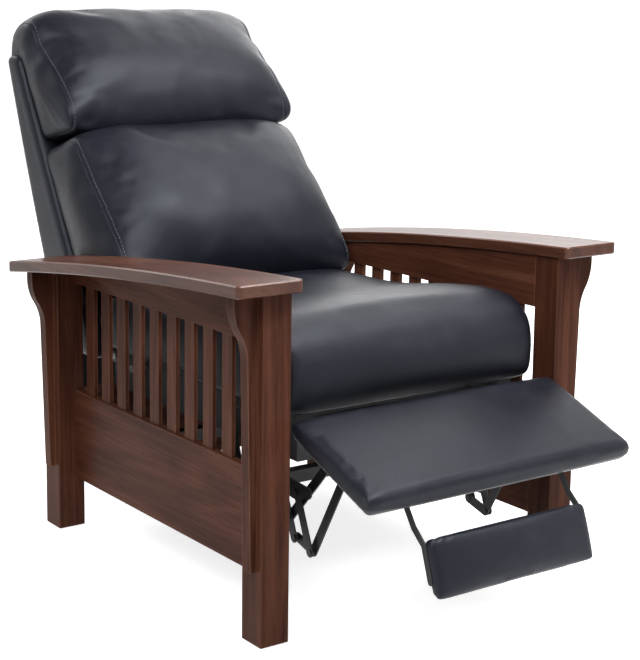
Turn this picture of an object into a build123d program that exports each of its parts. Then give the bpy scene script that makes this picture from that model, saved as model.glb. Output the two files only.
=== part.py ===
from build123d import *
import os
from math import atan2, cos, degrees, radians, sin

# Mission reclining armchair, in millimetres. The chair faces -Y and +Z is up.
# Left is -X and right is +X, as seen by someone who stands in front of it.
# The origin is on the floor, under the middle of the whole chair as photographed:
# footrest partly raised, back at its most upright.

os.makedirs("parts", exist_ok=True)
sides = (("left", -1), ("right", 1))

# Whole chair
frame_y = -38.0                 # middle of the side frames, so that the whole box is centred
side_length = 794.0             # front of the front posts to the rear of the rear posts
width_over_posts = 718.0
overrun = 400.0                 # how far cutting solids run past what they cut
pin_clearance = 0.08            # radial running clearance round a pivot pin
open_pivot_clearance = 0.6      # the same at the pivot where a closed linkage is opened
seat_gap = 0.3                  # how far a soft piece stays from what it rests on
small_round_sides = 12          # flats on rivet heads, glides and the round ends of bars

# Posts, arms and side panels, all wood
post_width = 57.0
post_depth = 60.0
post_edge_radius = 2.0
glide_height = 2.5
glide_radius = 12.0
arm_width = 130.0
arm_thickness = 22.0
arm_front_height = 636.0        # top of the arm at its front end
arm_rear_height = 551.0         # top of the arm at its rear end
arm_bow = 11.0                  # rise of the arm's curve over its straight chord
arm_overhang_front = 27.0
arm_overhang_rear = 23.0
arm_overhang_inside = 6.0
arm_corner_radius = 9.0
arm_edge_chamfer = 2.2
panel_thickness = 18.0
panel_inset = 39.0              # from the outer face of a post to the outer face of a panel
panel_bottom = 104.0
panel_height = 184.0
apron_rear_depth = 19.0         # of an apron under the rear end of the arm
rail_edge_chamfer = 1.2
tenon_thickness = 9.0
tenon_length = 20.0
tenon_shoulder = 10.0
slat_count = 10
slat_width = 31.0
slat_thickness = 8.0
slat_spacing = 62.8             # from the middle of one slat to the next
slat_tenon = 12.0
corbel_thickness = 22.0
corbel_setback = 16.0           # from the front face of its post
corbel_bottom = 133.0
corbel_proud_top = 47.0
corbel_proud_neck = 19.5
corbel_proud_foot = 11.5
corbel_straight = 16.0          # upright stretch at the top, under the arm
corbel_curve_height = 96.0      # height of the S curve
rear_rail_inset = 40.0          # from the rear face of a rear post

# Steel base on the side panels
base_rail_thickness = 3.0
base_rail_front = -236.0        # places along the chair are counted from frame_y
base_rail_rear = 206.0
base_rail_bottom = 190.0
base_rail_height = 94.0
base_rail_corner = 12.0
tube_size = 24.0
tube_wall = 2.0
front_tube_y = -168.0
rear_tube_y = 170.0
tube_z = 209.0
screw_head_radius = 5.0
screw_head_height = 2.5
screw_neck = 4.4                # across the flats of the square neck in the plate
screw_margin = 16.0             # from the edges of the plate that it holds

# Swing links that carry the seat
swing_length = 100.0
swing_lean = 20.0               # degrees that they lean back from upright
swing_width = 26.0
swing_thickness = 4.0
swing_gap = 23.0                # between a side rail of the seat and a swing link
front_stud_y = -190.0
rear_stud_y = 150.0
stud_z = 264.0
stud_radius = 5.0
stud_head_radius = 8.0
stud_head_height = 2.5

# Seat frame and cushion
seat_side_gap = 52.0            # between a base rail and a side rail of the seat
seat_rail_thickness = 32.0
seat_rail_bottom = 296.0
seat_rail_top = 380.0
seat_rail_front = -338.0
seat_rail_rear = 306.0
cross_rail_height = 34.0
cross_rail_thickness = 20.0
front_cross_y = -256.0          # front face of the front cross rail
rear_cross_y = 250.0
strap_thickness = 2.0
strap_width = 50.0
strap_count = 6
strap_spacing = 86.0            # from the middle of one strap to the next
cushion_side_gap = 10.0         # between the cushion and an arm's inner edge
cushion_front = -354.0
cushion_rear = 296.0
cushion_front_top = 541.0
cushion_rear_top = 499.0
cushion_front_round = 62.0
cushion_rear_round = 40.0
cushion_under_round = 24.0
cushion_crown = 12.0
cushion_front_belly = 10.0
cushion_side_draw = 24.0

# Sections of every soft piece, from its end to its middle
end_shares = (1.0, 0.985, 0.94, 0.6)        # places across the width, as shares of the half width
draw_shares = (1.0, 0.45, 0.1, 0.0)         # how much of the draw is left there
crown_shares = (0.0, 0.15, 0.4, 0.85)       # how much of the crown is reached there

# Back: angles and outlines are in the photographed position
back_side_gap = 13.0            # between the shell and an arm's inner edge
shell_bottom = 345.0
shell_top = 947.0
shell_rear_foot = 480.0
shell_rear_head = 722.0
shell_front_foot = 320.0
shell_front_head = 667.0
shell_bow = 6.0
shell_side_round = 14.0
skirt_thickness = 2.0           # a black lining that hangs behind the rear rail
skirt_drop = 92.0               # below the shell
skirt_setback = 24.0            # from the shell's rear face
frame_stile_width = 20.0
frame_rail_height = 60.0
frame_margin = 9.0              # padding round the inner frame
frame_front_share = 0.3         # where its front and rear faces lie in the shell's depth
frame_rear_share = 0.68
lumbar_inset = 4.0              # an end of the pillow, from the shell's side
lumbar_front_y = 152.0
lumbar_belly = 26.0             # how far the front bulges, in the middle of its width
lumbar_edge_belly = 5.0         # the same at the ends
lumbar_round = 34.0
headrest_inset = 9.0
headrest_belly = 12.0
headrest_edge_belly = 3.0
headrest_nose_round = 24.0
headrest_crown_round = 60.0
headrest_rear_round = 22.0
headrest_top_y = 640.0          # where its sloping front meets its top
headrest_top = 1047.0
headrest_rear_y = 724.0
headrest_rear_top = 1040.0
pillow_parting_y = 396.0        # front end of the line where the two pillows meet
pillow_parting_z = 818.0
pillow_parting_rear_z = 768.0   # rear end of that line, on the shell
pillow_corner_round = 8.0
pillow_end_draw = 24.0          # how far an end is drawn in all round
hinge_y = 300.0
hinge_z = 360.0
hinge_plate_thickness = 3.0
hinge_plate_width = 30.0
hinge_plate_gap = 1.0
hinge_arm_length = 165.0
hinge_arm_rise = 41.0           # degrees above the horizontal

# Footrest linkage of flat bars, in layers from the side plates inwards
bar_thickness = 3.0
bar_width = 18.0
bar_gap = 1.0                   # between the planes of neighbouring bars
rivet_radius = 4.0
rivet_head_radius = 6.5
rivet_head_height = 1.6
drive_pivot_y = -286.0          # pivot of the drive links on the side plates
drive_pivot_z = 222.0
apex_y = -328.0                 # bottom of the V
apex_z = 122.0
carry_pivot_y = -419.5          # pivot of the footrest brackets on the carry links
carry_pivot_z = 288.0
guide_offset = 50.0             # between the pivots of a drive link and a guide link
guide_offset_rise = 15.0        # degrees above the horizontal
stay_offset = 40.0              # between the pivots of a carry link and a stay link
plate_margin = 13.0             # side plate metal round a pivot
plate_horn_front = -336.0
plate_horn_height = 18.0
plate_strip_front = -318.0      # the strip along the seat rail
plate_strip_rear = 140.0
plate_strip_height = 36.0
plate_strip_drop = 8.0          # from the top of the seat rail
plate_arm_width = 40.0          # the arm that hangs down to the pivots
plate_corner = 5.0

# Footrest board and flipper, in the photographed position
footrest_side_gap = 12.0        # between the footrest and a front post
footrest_edge_y = -400.0        # rear edge of the upper face
footrest_edge_z = 391.0
footrest_length = 222.0
footrest_tilt = 20.9            # degrees that the board falls to the front
footrest_pad_thickness = 30.0
footrest_board_thickness = 12.0
footrest_pad_round = 13.0
footrest_crown = 6.0
footrest_board_inset = 7.0
pad_end_draw = 8.0
pad_edge_crown = 1.0            # how far a pad's face bulges at its ends
pad_under_round = 3.0
bracket_front = 186.0           # along the board, from its rear edge
bracket_rear = 16.0
bracket_margin = 10.0           # bracket metal round a pivot
flipper_half = 174.0
flipper_top_y = -617.0          # upper edge of the front face
flipper_top_z = 223.0
flipper_length = 96.0
flipper_tilt = 71.2
flipper_pad_thickness = 18.0
flipper_board_thickness = 8.0
flipper_pad_round = 6.0
flipper_end_draw = 3.0
flipper_crown = 5.0
flipper_pivot_along = 170.0     # along the footrest board, from its rear edge
flipper_pivot_depth = 55.0      # under the footrest board's upper face
flipper_arm_width = 12.0
flipper_kink_up = 22.0          # the bend in an arm, above the upper edge of the flipper
flipper_kink_back = 40.0        # and behind its front face
flipper_foot_start = 8.0        # the straight foot on the end of the flipper board
flipper_foot_end = 68.0

# Worked out from the sizes above
post_outer = width_over_posts / 2
post_inner = post_outer - post_width
post_front = frame_y - side_length / 2
post_rear = frame_y + side_length / 2
front_post_y = post_front + post_depth / 2
rear_post_y = post_rear - post_depth / 2
bay = side_length - 2 * post_depth
arm_inner = post_inner - arm_overhang_inside
arm_front = post_front - arm_overhang_front
arm_rear = post_rear + arm_overhang_rear
arm_middle = (arm_front + arm_rear) / 2
arm_middle_height = (arm_front_height + arm_rear_height) / 2 + arm_bow
panel_outer = post_outer - panel_inset
panel_inner = panel_outer - panel_thickness
panel_middle = panel_outer - panel_thickness / 2
apron_bottom = arm_rear_height - arm_thickness - apron_rear_depth
base_rail_inner = panel_inner - base_rail_thickness
seat_rail_half = base_rail_inner - seat_side_gap    # halves are counted from the chair's middle
seat_rail_inner = seat_rail_half - seat_rail_thickness
cushion_half = arm_inner - cushion_side_gap
back_half = arm_inner - back_side_gap
lumbar_half = back_half - lumbar_inset
headrest_half = back_half - headrest_inset
footrest_half = post_inner - footrest_side_gap
swing_plane = seat_rail_half + swing_gap    # a plane is the inner face of a flat bar
plate_plane = seat_rail_inner - bar_thickness


def keep(piece, name):
    """Name a finished piece and write it out."""
    piece.part.label = name
    export_step(piece.part, f"parts/{name}.step")


def at(y, z):
    """A place in the side view, counted from the middle of the side frames."""
    return (frame_y + y, z)


def slope(start, end):
    """Direction from one side-view place to another, in degrees above the horizontal."""
    return degrees(atan2(end[1] - start[1], end[0] - start[0]))


def step_from(start, angle, distance):
    """The side-view place a distance away from another, in a direction in degrees."""
    return (start[0] + distance * cos(radians(angle)), start[1] + distance * sin(radians(angle)))


def cut_above_arm():
    """Trim the open part to the curved underside of the arm."""
    roof = arm_front_height + overrun
    with BuildSketch(Plane.YZ, mode=Mode.PRIVATE) as above:
        with BuildLine():
            under = ThreePointArc(
                (arm_front, arm_front_height - arm_thickness),
                (arm_middle, arm_middle_height - arm_thickness),
                (arm_rear, arm_rear_height - arm_thickness),
            )
            Polyline(under @ 1, (arm_rear, roof), (arm_front, roof), under @ 0)
        make_face()
    extrude(above.sketch, amount=2 * post_outer, both=True, mode=Mode.SUBTRACT)


def tenons(y_ends, middle_z, height, depth=tenon_length):
    """Add a tenon at each end of a rail that runs along Y, in the middle of its thickness."""
    for y in y_ends:
        with Locations((panel_middle * sign, y, middle_z)):
            Box(tenon_thickness, 2 * depth, height)


# Posts, with mortises for the panels and aprons
for side, sign in sides:
    for end, post_y, inward in (("front", front_post_y, 1), ("rear", rear_post_y, -1)):
        mortise_y = post_y + inward * post_depth / 2
        with BuildPart() as post:
            with Locations((sign * (post_inner + post_width / 2), post_y, glide_height)):
                Box(post_width, post_depth, arm_front_height,
                    align=(Align.CENTER, Align.CENTER, Align.MIN))
            fillet(post.edges().filter_by(Axis.Z), post_edge_radius)
            cut_above_arm()
            with Locations((sign * panel_middle, mortise_y, panel_bottom + panel_height / 2)):
                Box(tenon_thickness, 2 * tenon_length, panel_height - 2 * tenon_shoulder,
                    mode=Mode.SUBTRACT)
            with Locations((sign * panel_middle, mortise_y, apron_bottom)):
                Box(tenon_thickness, 2 * tenon_length, overrun,
                    align=(Align.CENTER, Align.CENTER, Align.MIN), mode=Mode.SUBTRACT)
        keep(post, f"{side}_{end}_post")

# Bow arms
for side, sign in sides:
    with BuildPart() as arm:
        with BuildSketch(Plane.YZ.offset(sign * arm_inner)):
            with BuildLine():
                upper = ThreePointArc((arm_front, arm_front_height),
                                      (arm_middle, arm_middle_height),
                                      (arm_rear, arm_rear_height))
                Line(upper @ 1, (arm_rear, arm_rear_height - arm_thickness))
                lower = ThreePointArc((arm_rear, arm_rear_height - arm_thickness),
                                      (arm_middle, arm_middle_height - arm_thickness),
                                      (arm_front, arm_front_height - arm_thickness))
                Line(lower @ 1, upper @ 0)
            make_face()
        extrude(amount=sign * arm_width)
        fillet(arm.edges().filter_by(Axis.Z), arm_corner_radius)
        chamfer(arm.faces().sort_by(Axis.Z)[-1].edges(), arm_edge_chamfer)
    keep(arm, f"{side}_arm")

# Wide lower panels, with mortises for the slats along the top
for side, sign in sides:
    with BuildPart() as panel:
        with Locations((sign * panel_middle, frame_y, panel_bottom + panel_height / 2)):
            Box(panel_thickness, bay, panel_height)
        chamfer(panel.edges().filter_by(Axis.Y), rail_edge_chamfer)
        tenons((frame_y - bay / 2, frame_y + bay / 2), panel_bottom + panel_height / 2,
               panel_height - 2 * tenon_shoulder, tenon_length)
        with Locations((sign * panel_middle, frame_y, panel_bottom + panel_height)):
            with GridLocations(slat_thickness, slat_spacing, 1, slat_count):
                Box(slat_thickness, slat_width, 2 * slat_tenon, mode=Mode.SUBTRACT)
    keep(panel, f"{side}_side_panel")

# Aprons under the arms, tapering to the rear because the arm falls
for side, sign in sides:
    with BuildPart() as apron:
        with Locations((sign * panel_middle, frame_y, apron_bottom)):
            Box(panel_thickness, bay, overrun, align=(Align.CENTER, Align.CENTER, Align.MIN))
        with Locations((sign * panel_middle, frame_y, apron_bottom)):
            Box(tenon_thickness, bay + 2 * tenon_length, overrun,
                align=(Align.CENTER, Align.CENTER, Align.MIN))
        with Locations((sign * panel_middle, frame_y, apron_bottom)):
            with GridLocations(slat_thickness, slat_spacing, 1, slat_count):
                Box(slat_thickness, slat_width, 2 * slat_tenon, mode=Mode.SUBTRACT)
        cut_above_arm()
    keep(apron, f"{side}_apron")

# Slats, tenoned into the panel and the apron
slat_bottom = panel_bottom + panel_height - slat_tenon
slat_top = apron_bottom + slat_tenon
for side, sign in sides:
    with BuildPart() as slats:
        with Locations((sign * panel_middle, frame_y, slat_bottom)):
            with GridLocations(slat_thickness, slat_spacing, 1, slat_count):
                Box(slat_thickness, slat_width, slat_top - slat_bottom,
                    align=(Align.CENTER, Align.CENTER, Align.MIN))
    keep(slats, f"{side}_slats")

# Corbels on the outer faces of the posts: an S curve under the arm, then a long taper
for side, sign in sides:
    for end, post_y in (("front", front_post_y), ("rear", rear_post_y)):
        corbel_front = post_y - post_depth / 2 + corbel_setback
        chord = arm_rear_height - arm_front_height
        share = (corbel_front - arm_front) / (arm_rear - arm_front)
        shoulder = arm_front_height + chord * share - arm_thickness - corbel_straight
        neck = shoulder - corbel_curve_height
        middle = (post_outer + (corbel_proud_top + corbel_proud_neck) / 2,
                  (shoulder + neck) / 2)
        with BuildPart() as corbel:
            with BuildSketch(Plane.XZ.offset(-corbel_front)) as outline:
                with BuildLine():
                    rise = Line((post_outer + corbel_proud_top, shoulder + overrun),
                                (post_outer + corbel_proud_top, shoulder))
                    swell = TangentArc(rise @ 1, middle, tangent=(0, -1))
                    hollow = TangentArc(swell @ 1,
                                        (post_outer + corbel_proud_neck, neck),
                                        tangent=swell % 1)
                    Polyline(hollow @ 1,
                             (post_outer + corbel_proud_foot, corbel_bottom),
                             (post_outer, corbel_bottom),
                             (post_outer, shoulder + overrun),
                             rise @ 0)
                make_face()
            extrude(amount=-corbel_thickness)
            if sign < 0:
                mirror(about=Plane.YZ, mode=Mode.REPLACE)
            cut_above_arm()
        keep(corbel, f"{side}_{end}_corbel")

# Rear rail between the rear posts
rear_rail_y = post_rear - rear_rail_inset - panel_thickness / 2
with BuildPart() as rear_rail:
    with Locations((0, rear_rail_y, panel_bottom + panel_height / 2)):
        Box(2 * post_inner, panel_thickness, panel_height)
    chamfer(rear_rail.edges().filter_by(Axis.X), rail_edge_chamfer)
keep(rear_rail, "rear_rail")

# Glides under the posts
post_middle = post_inner + post_width / 2
with BuildPart() as glides:
    with BuildSketch():
        with Locations(*[(sign * post_middle, post_y)
                         for sign in (-1, 1) for post_y in (front_post_y, rear_post_y)]):
            RegularPolygon(glide_radius, small_round_sides)
    extrude(amount=glide_height)
keep(glides, "glides")

# Steel base: rails on the panels, tubes across
base_rail_length = base_rail_rear - base_rail_front
base_rail_middle = at((base_rail_front + base_rail_rear) / 2,
                      base_rail_bottom + base_rail_height / 2)
screw_places = [
    (frame_y + y, z)
    for y in (base_rail_front + screw_margin, base_rail_rear - screw_margin)
    for z in (base_rail_bottom + screw_margin, base_rail_bottom + base_rail_height - screw_margin)
]
for side, sign in sides:
    with BuildPart() as base_rail:
        with BuildSketch(Plane.YZ.offset(sign * base_rail_inner)):
            with Locations(base_rail_middle):
                plate = Rectangle(base_rail_length, base_rail_height)
            chamfer(plate.vertices(), base_rail_corner)
            with Locations(*screw_places):
                Rectangle(screw_neck, screw_neck, mode=Mode.SUBTRACT)
        extrude(amount=sign * base_rail_thickness)
    keep(base_rail, f"{side}_base_rail")

for name, tube_y in (("front_cross_tube", front_tube_y), ("rear_cross_tube", rear_tube_y)):
    with BuildPart() as tube:
        with BuildSketch(Plane.YZ.offset(-base_rail_inner)):
            with Locations(at(tube_y, tube_z)):
                Rectangle(tube_size, tube_size)
                Rectangle(tube_size - 2 * tube_wall, tube_size - 2 * tube_wall,
                          mode=Mode.SUBTRACT)
        extrude(amount=2 * base_rail_inner)
    keep(tube, name)

with BuildPart() as base_screws:
    for sign in (-1, 1):
        with BuildSketch(Plane.YZ.offset(sign * base_rail_inner)) as heads:
            with Locations(*screw_places):
                RegularPolygon(screw_head_radius, small_round_sides)
        extrude(amount=-sign * screw_head_height)
        with BuildSketch(Plane.YZ.offset(sign * base_rail_inner)) as necks:
            with Locations(*screw_places):
                Rectangle(screw_neck, screw_neck)
        extrude(amount=sign * base_rail_thickness)
keep(base_screws, "base_screws")

# Swing links: the studs on the base are below, those on the seat above and further back
swing_direction = 90.0 - swing_lean
base_studs = [at(front_stud_y, stud_z), at(rear_stud_y, stud_z)]
seat_studs = [step_from(place, swing_direction, swing_length) for place in base_studs]
swing_outer = swing_plane + swing_thickness


def bar(start, end, width):
    """Outline of a flat bar that is rounded about its two end places."""
    with BuildSketch(mode=Mode.PRIVATE) as outline:
        with Locations(start, end):
            RegularPolygon(width / 2, small_round_sides, rotation=slope(start, end))
        make_hull()
    return outline.sketch


def flat_bar(plane, thickness, start, end, width, holes=()):
    """Add a round-ended flat bar on both sides of the chair, with a hole at each place."""
    for sign in (-1, 1):
        with BuildSketch(Plane.YZ.offset(sign * plane), mode=Mode.PRIVATE) as outline:
            add(bar(start, end, width))
            for place, radius in holes:
                with Locations(place):
                    Circle(radius, mode=Mode.SUBTRACT)
        extrude(outline.sketch, amount=sign * thickness)


def discs(places, plane, radius, length):
    """Add a round pin on both sides of the chair at each place, growing outwards."""
    for sign in (-1, 1):
        with BuildSketch(Plane.YZ.offset(sign * plane), mode=Mode.PRIVATE) as outline:
            with Locations(*places):
                Circle(radius)
        extrude(outline.sketch, amount=sign * length)


def heads(places, plane, radius, length):
    """Add a pin's or rivet's head on both sides of the chair at each place."""
    for sign in (-1, 1):
        with BuildSketch(Plane.YZ.offset(sign * plane), mode=Mode.PRIVATE) as outline:
            with Locations(*places):
                RegularPolygon(radius, small_round_sides)
        extrude(outline.sketch, amount=sign * length)


for name, low, high, clearance in (
    ("front_swing_links", base_studs[0], seat_studs[0], pin_clearance),
    ("rear_swing_links", base_studs[1], seat_studs[1], open_pivot_clearance),
):
    with BuildPart() as swing:
        flat_bar(swing_plane, swing_thickness, low, high, swing_width,
                 ((low, stud_radius + pin_clearance), (high, stud_radius + clearance)))
    keep(swing, name)

with BuildPart() as base_pins:
    discs(base_studs, swing_plane, stud_radius, base_rail_inner - swing_plane)
    heads(base_studs, swing_plane - stud_head_height, stud_head_radius, stud_head_height)
keep(base_pins, "base_studs")

with BuildPart() as seat_pins:
    discs(seat_studs, seat_rail_half, stud_radius, swing_outer - seat_rail_half)
    heads(seat_studs, swing_outer, stud_head_radius, stud_head_height)
keep(seat_pins, "seat_studs")

# Seat frame: side rails, cross rails, webbing
seat_rail_length = seat_rail_rear - seat_rail_front
for side, sign in sides:
    with BuildPart() as seat_rail:
        with Locations((sign * (seat_rail_half + seat_rail_inner) / 2,
                        frame_y + (seat_rail_front + seat_rail_rear) / 2,
                        (seat_rail_bottom + seat_rail_top) / 2)):
            Box(seat_rail_thickness, seat_rail_length, seat_rail_top - seat_rail_bottom)
        chamfer(seat_rail.edges().filter_by(Axis.Y), rail_edge_chamfer)
    keep(seat_rail, f"{side}_seat_rail")

for name, rail_y, reach in (("front_seat_rail", front_cross_y, plate_plane),
                            ("rear_seat_rail", rear_cross_y, seat_rail_inner)):
    with BuildPart() as cross_rail:
        with Locations((0, frame_y + rail_y, seat_rail_top)):
            Box(2 * reach, cross_rail_thickness, cross_rail_height,
                align=(Align.CENTER, Align.MIN, Align.MAX))
    keep(cross_rail, name)

with BuildPart() as straps:
    with Locations((0, frame_y + (front_cross_y + rear_cross_y + cross_rail_thickness) / 2,
                    seat_rail_top)):
        with GridLocations(strap_width, strap_spacing, 1, strap_count):
            Box(2 * seat_rail_half, strap_width, strap_thickness,
                align=(Align.CENTER, Align.CENTER, Align.MIN))
keep(straps, "seat_webbing")

# Soft pieces: lofted across the chair, with a crown in the middle and sides drawn in

def across(half):
    """The lofted sections of a soft piece: place across, share of the draw, share of the crown."""
    one_side = list(zip(end_shares, draw_shares, crown_shares))
    left_half = [(-half * place, draw, crown) for place, draw, crown in one_side]
    right_half = [(half * place, draw, crown) for place, draw, crown in reversed(one_side)]
    return left_half + [(0, 0.0, 1.0)] + right_half


def drawn_in(corners, distance, seat):
    """The same outline, drawn in towards its seat by a distance over its longest side.

    The seat is two corners, and the outline shrinks towards the middle between them.
    """
    first, second = corners[seat[0]], corners[seat[1]]
    seat_y, seat_z = (first[0] + second[0]) / 2, (first[1] + second[1]) / 2
    ys = [corner[0] for corner in corners]
    zs = [corner[1] for corner in corners]
    kept = 1 - distance / max(max(ys) - min(ys), max(zs) - min(zs))
    return [(seat_y + (y - seat_y) * kept, seat_z + (z - seat_z) * kept) for y, z in corners]


def soft_section(x, corners, rounds, bulge):
    """One section of a soft piece: an arc for its front edge, straight lines after it."""
    low, high = corners[0], corners[1]
    span = ((high[0] - low[0]) ** 2 + (high[1] - low[1]) ** 2) ** 0.5
    bulged = ((low[0] + high[0]) / 2 - (high[1] - low[1]) / span * bulge,
              (low[1] + high[1]) / 2 + (high[0] - low[0]) / span * bulge)
    with BuildSketch(Plane.YZ.offset(x), mode=Mode.PRIVATE) as section:
        with BuildLine():
            front = ThreePointArc(low, bulged, high)
            Polyline(front @ 1, *corners[2:], front @ 0)
        make_face()
        for corner, radius in zip(corners, rounds):
            nearest = section.vertices().sort_by_distance((corner[0], corner[1], 0))[0]
            fillet(nearest, radius)
    return section.sketch


def soft_loft(half, draw_by, rounds, corners_at, bulge_at, seat):
    """Loft a soft piece as wide as twice half into the open part."""
    sections = []
    for x, draw, crown in across(half):
        corners = drawn_in(corners_at(crown), draw * draw_by, seat)
        sections.append(soft_section(x, corners, rounds, bulge_at(crown)))
    loft(sections, ruled=True)


# Seat cushion
strap_top = seat_rail_top + strap_thickness
cushion_bottom = strap_top + seat_gap
cushion_slope = (cushion_rear_top - cushion_front_top) / (cushion_rear - cushion_front)


def cushion_corners(crown):
    """The seat cushion's side view where it has this share of its crown."""
    lift = (crown - 1) * cushion_crown
    return [
        at(cushion_front, cushion_bottom),
        at(cushion_front, cushion_front_top + lift),
        at(cushion_rear, cushion_rear_top + lift),
        at(cushion_rear, cushion_bottom),
    ]


with BuildPart() as seat_cushion:
    soft_loft(cushion_half, cushion_side_draw,
              (cushion_under_round, cushion_front_round, cushion_rear_round,
               cushion_under_round),
              cushion_corners, lambda crown: cushion_front_belly, (0, 3))
keep(seat_cushion, "seat_cushion")

# Back: a wooden frame inside a padded shell, both leaning back together
shell_lean_front = (shell_front_head - shell_front_foot) / (shell_top - shell_bottom)
shell_lean_rear = (shell_rear_head - shell_rear_foot) / (shell_top - shell_bottom)


def shell_front(z):
    """The place on the shell's front face at a height."""
    return at(shell_front_foot + shell_lean_front * (z - shell_bottom), z)


def shell_core(z, share):
    """A place between the shell's front face and its rear chord, for the inner frame."""
    front_y = shell_front_foot + shell_lean_front * (z - shell_bottom)
    rear_y = shell_rear_foot + shell_lean_rear * (z - shell_bottom)
    return at(front_y + (rear_y - front_y) * share, z)


hinge = at(hinge_y, hinge_z)
hinge_inner = seat_rail_half + hinge_plate_gap
stile_inner = hinge_inner + hinge_plate_thickness
core_low = shell_bottom + frame_margin
core_high = shell_top - frame_margin - hinge_plate_width
with BuildPart() as back_frame:
    for sign in (-1, 1):
        with BuildSketch(Plane.YZ.offset(sign * stile_inner)):
            Polygon(
                shell_core(core_low, frame_front_share),
                shell_core(core_high, frame_front_share),
                shell_core(core_high, frame_rear_share),
                shell_core(core_low, frame_rear_share),
                align=None,
            )
        extrude(amount=sign * frame_stile_width)
    for low in (core_low, (core_low + core_high - frame_rail_height) / 2,
                core_high - frame_rail_height):
        high = low + frame_rail_height
        with BuildSketch(Plane.YZ.offset(-stile_inner)):
            Polygon(
                shell_core(low, frame_front_share),
                shell_core(high, frame_front_share),
                shell_core(high, frame_rear_share),
                shell_core(low, frame_rear_share),
                align=None,
            )
        extrude(amount=2 * stile_inner)
keep(back_frame, "back_frame")

hinge_arm_end = step_from(hinge, hinge_arm_rise, hinge_arm_length)
with BuildPart() as hinge_arms:
    flat_bar(hinge_inner, hinge_plate_thickness, hinge, hinge_arm_end, hinge_plate_width,
             ((hinge, stud_radius + pin_clearance),))
    add(back_frame.part, mode=Mode.SUBTRACT)
keep(hinge_arms, "back_hinge_arms")

with BuildPart() as hinge_pins:
    discs((hinge,), seat_rail_half, stud_radius, stile_inner - seat_rail_half)
    heads((hinge,), stile_inner, stud_head_radius, stud_head_height)
keep(hinge_pins, "back_hinge_pins")

with BuildPart() as shell:
    with BuildSketch(Plane.YZ.offset(-back_half)) as section:
        with BuildLine():
            front = Line(shell_front(shell_bottom), shell_front(shell_top))
            head = Line(front @ 1, at(shell_rear_head, shell_top))
            bow_middle_z = (shell_bottom + shell_top) / 2
            bow_middle = shell_core(bow_middle_z, 1)
            rear = ThreePointArc(head @ 1, (bow_middle[0] + shell_bow, bow_middle_z),
                                 at(shell_rear_foot, shell_bottom))
            Line(rear @ 1, front @ 0)
        make_face()
        fillet(section.vertices(), shell_side_round)
    extrude(amount=2 * back_half)
    ends = shell.faces().filter_by(Axis.X)
    chamfer(ends.edges(), shell_side_round / 2)
    add(back_frame.part, mode=Mode.SUBTRACT)
    add(hinge_arms.part, mode=Mode.SUBTRACT)
keep(shell, "back_shell")

# Skirt under the rear edge of the shell, which hides the space over the rear rail
with BuildPart() as skirt:
    with Locations((0, frame_y + shell_rear_foot - skirt_setback, shell_bottom)):
        Box(2 * (back_half - shell_side_round), skirt_thickness, skirt_drop,
            align=(Align.CENTER, Align.CENTER, Align.MAX))
keep(skirt, "back_skirt")


def parting(y, gap):
    """A place on the line where the two pillows meet, moved up by a gap."""
    rear_y = shell_front(pillow_parting_rear_z)[0] - frame_y
    fall = (pillow_parting_rear_z - pillow_parting_z) / (rear_y - pillow_parting_y)
    return at(y, pillow_parting_z + fall * (y - pillow_parting_y) + gap)


def shell_rest(z, gap):
    """A place a gap in front of the shell."""
    place = shell_front(z)
    return (place[0] - gap, z)


# Lumbar pillow: it stands on the seat cushion and leans on the shell
def seat_top(y):
    """A place just above the crown of the seat cushion."""
    return at(y, cushion_front_top + cushion_slope * (y - cushion_front) + seat_gap)


def pillow_corners(corners):
    """The same corners for every share of the crown: a pillow's crown is all in its belly."""
    return lambda crown: corners


def belly(at_ends, in_middle):
    """How far a pillow's front bulges, by the share of the crown."""
    return lambda crown: at_ends + (in_middle - at_ends) * crown


lumbar_rear_y = (
    (shell_front_foot
     + shell_lean_front * (seat_top(0)[1] - shell_bottom))
    / (1 - shell_lean_front * cushion_slope)
)
lumbar_rear_z = seat_top(lumbar_rear_y)[1]
with BuildPart() as lumbar:
    soft_loft(lumbar_half, pillow_end_draw,
              (lumbar_round, lumbar_round, pillow_corner_round, pillow_corner_round),
              pillow_corners([
                  seat_top(lumbar_front_y),
                  parting(pillow_parting_y, -seat_gap / 2),
                  shell_rest(pillow_parting_rear_z - seat_gap, seat_gap),
                  shell_rest(lumbar_rear_z, seat_gap),
              ]),
              belly(lumbar_edge_belly, lumbar_belly), (3, 3))
keep(lumbar, "lumbar_pillow")

# Headrest pillow: it sits on the lumbar pillow and caps the top of the shell
with BuildPart() as headrest:
    soft_loft(headrest_half, pillow_end_draw,
              (headrest_nose_round, headrest_crown_round, headrest_rear_round,
               pillow_corner_round),
              pillow_corners([
                  parting(pillow_parting_y, seat_gap / 2),
                  at(headrest_top_y, headrest_top),
                  at(headrest_rear_y, headrest_rear_top),
                  at(headrest_rear_y, shell_top + seat_gap),
                  shell_rest(shell_top + seat_gap, seat_gap),
                  shell_rest(pillow_parting_rear_z + seat_gap, seat_gap),
              ]),
              belly(headrest_edge_belly, headrest_belly), (4, 4))
keep(headrest, "headrest_pillow")

# Pivots of the footrest linkage, in the photographed position
plate_outer = plate_plane + bar_thickness
bar_pitch = bar_thickness + bar_gap
drive_plane = plate_plane - bar_pitch
stay_plane = drive_plane - bar_pitch
carry_plane = stay_plane - bar_pitch
bracket_plane = carry_plane - bar_pitch
drive_pivot = at(drive_pivot_y, drive_pivot_z)
apex = at(apex_y, apex_z)
carry_pivot = at(carry_pivot_y, carry_pivot_z)
guide_pivot = step_from(drive_pivot, guide_offset_rise, guide_offset)
guide_foot = step_from(apex, guide_offset_rise, guide_offset)
drive_direction = slope(apex, drive_pivot)
stay_foot = step_from(guide_foot, drive_direction, stay_offset)
stay_pivot = step_from(carry_pivot, drive_direction, stay_offset)


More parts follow.
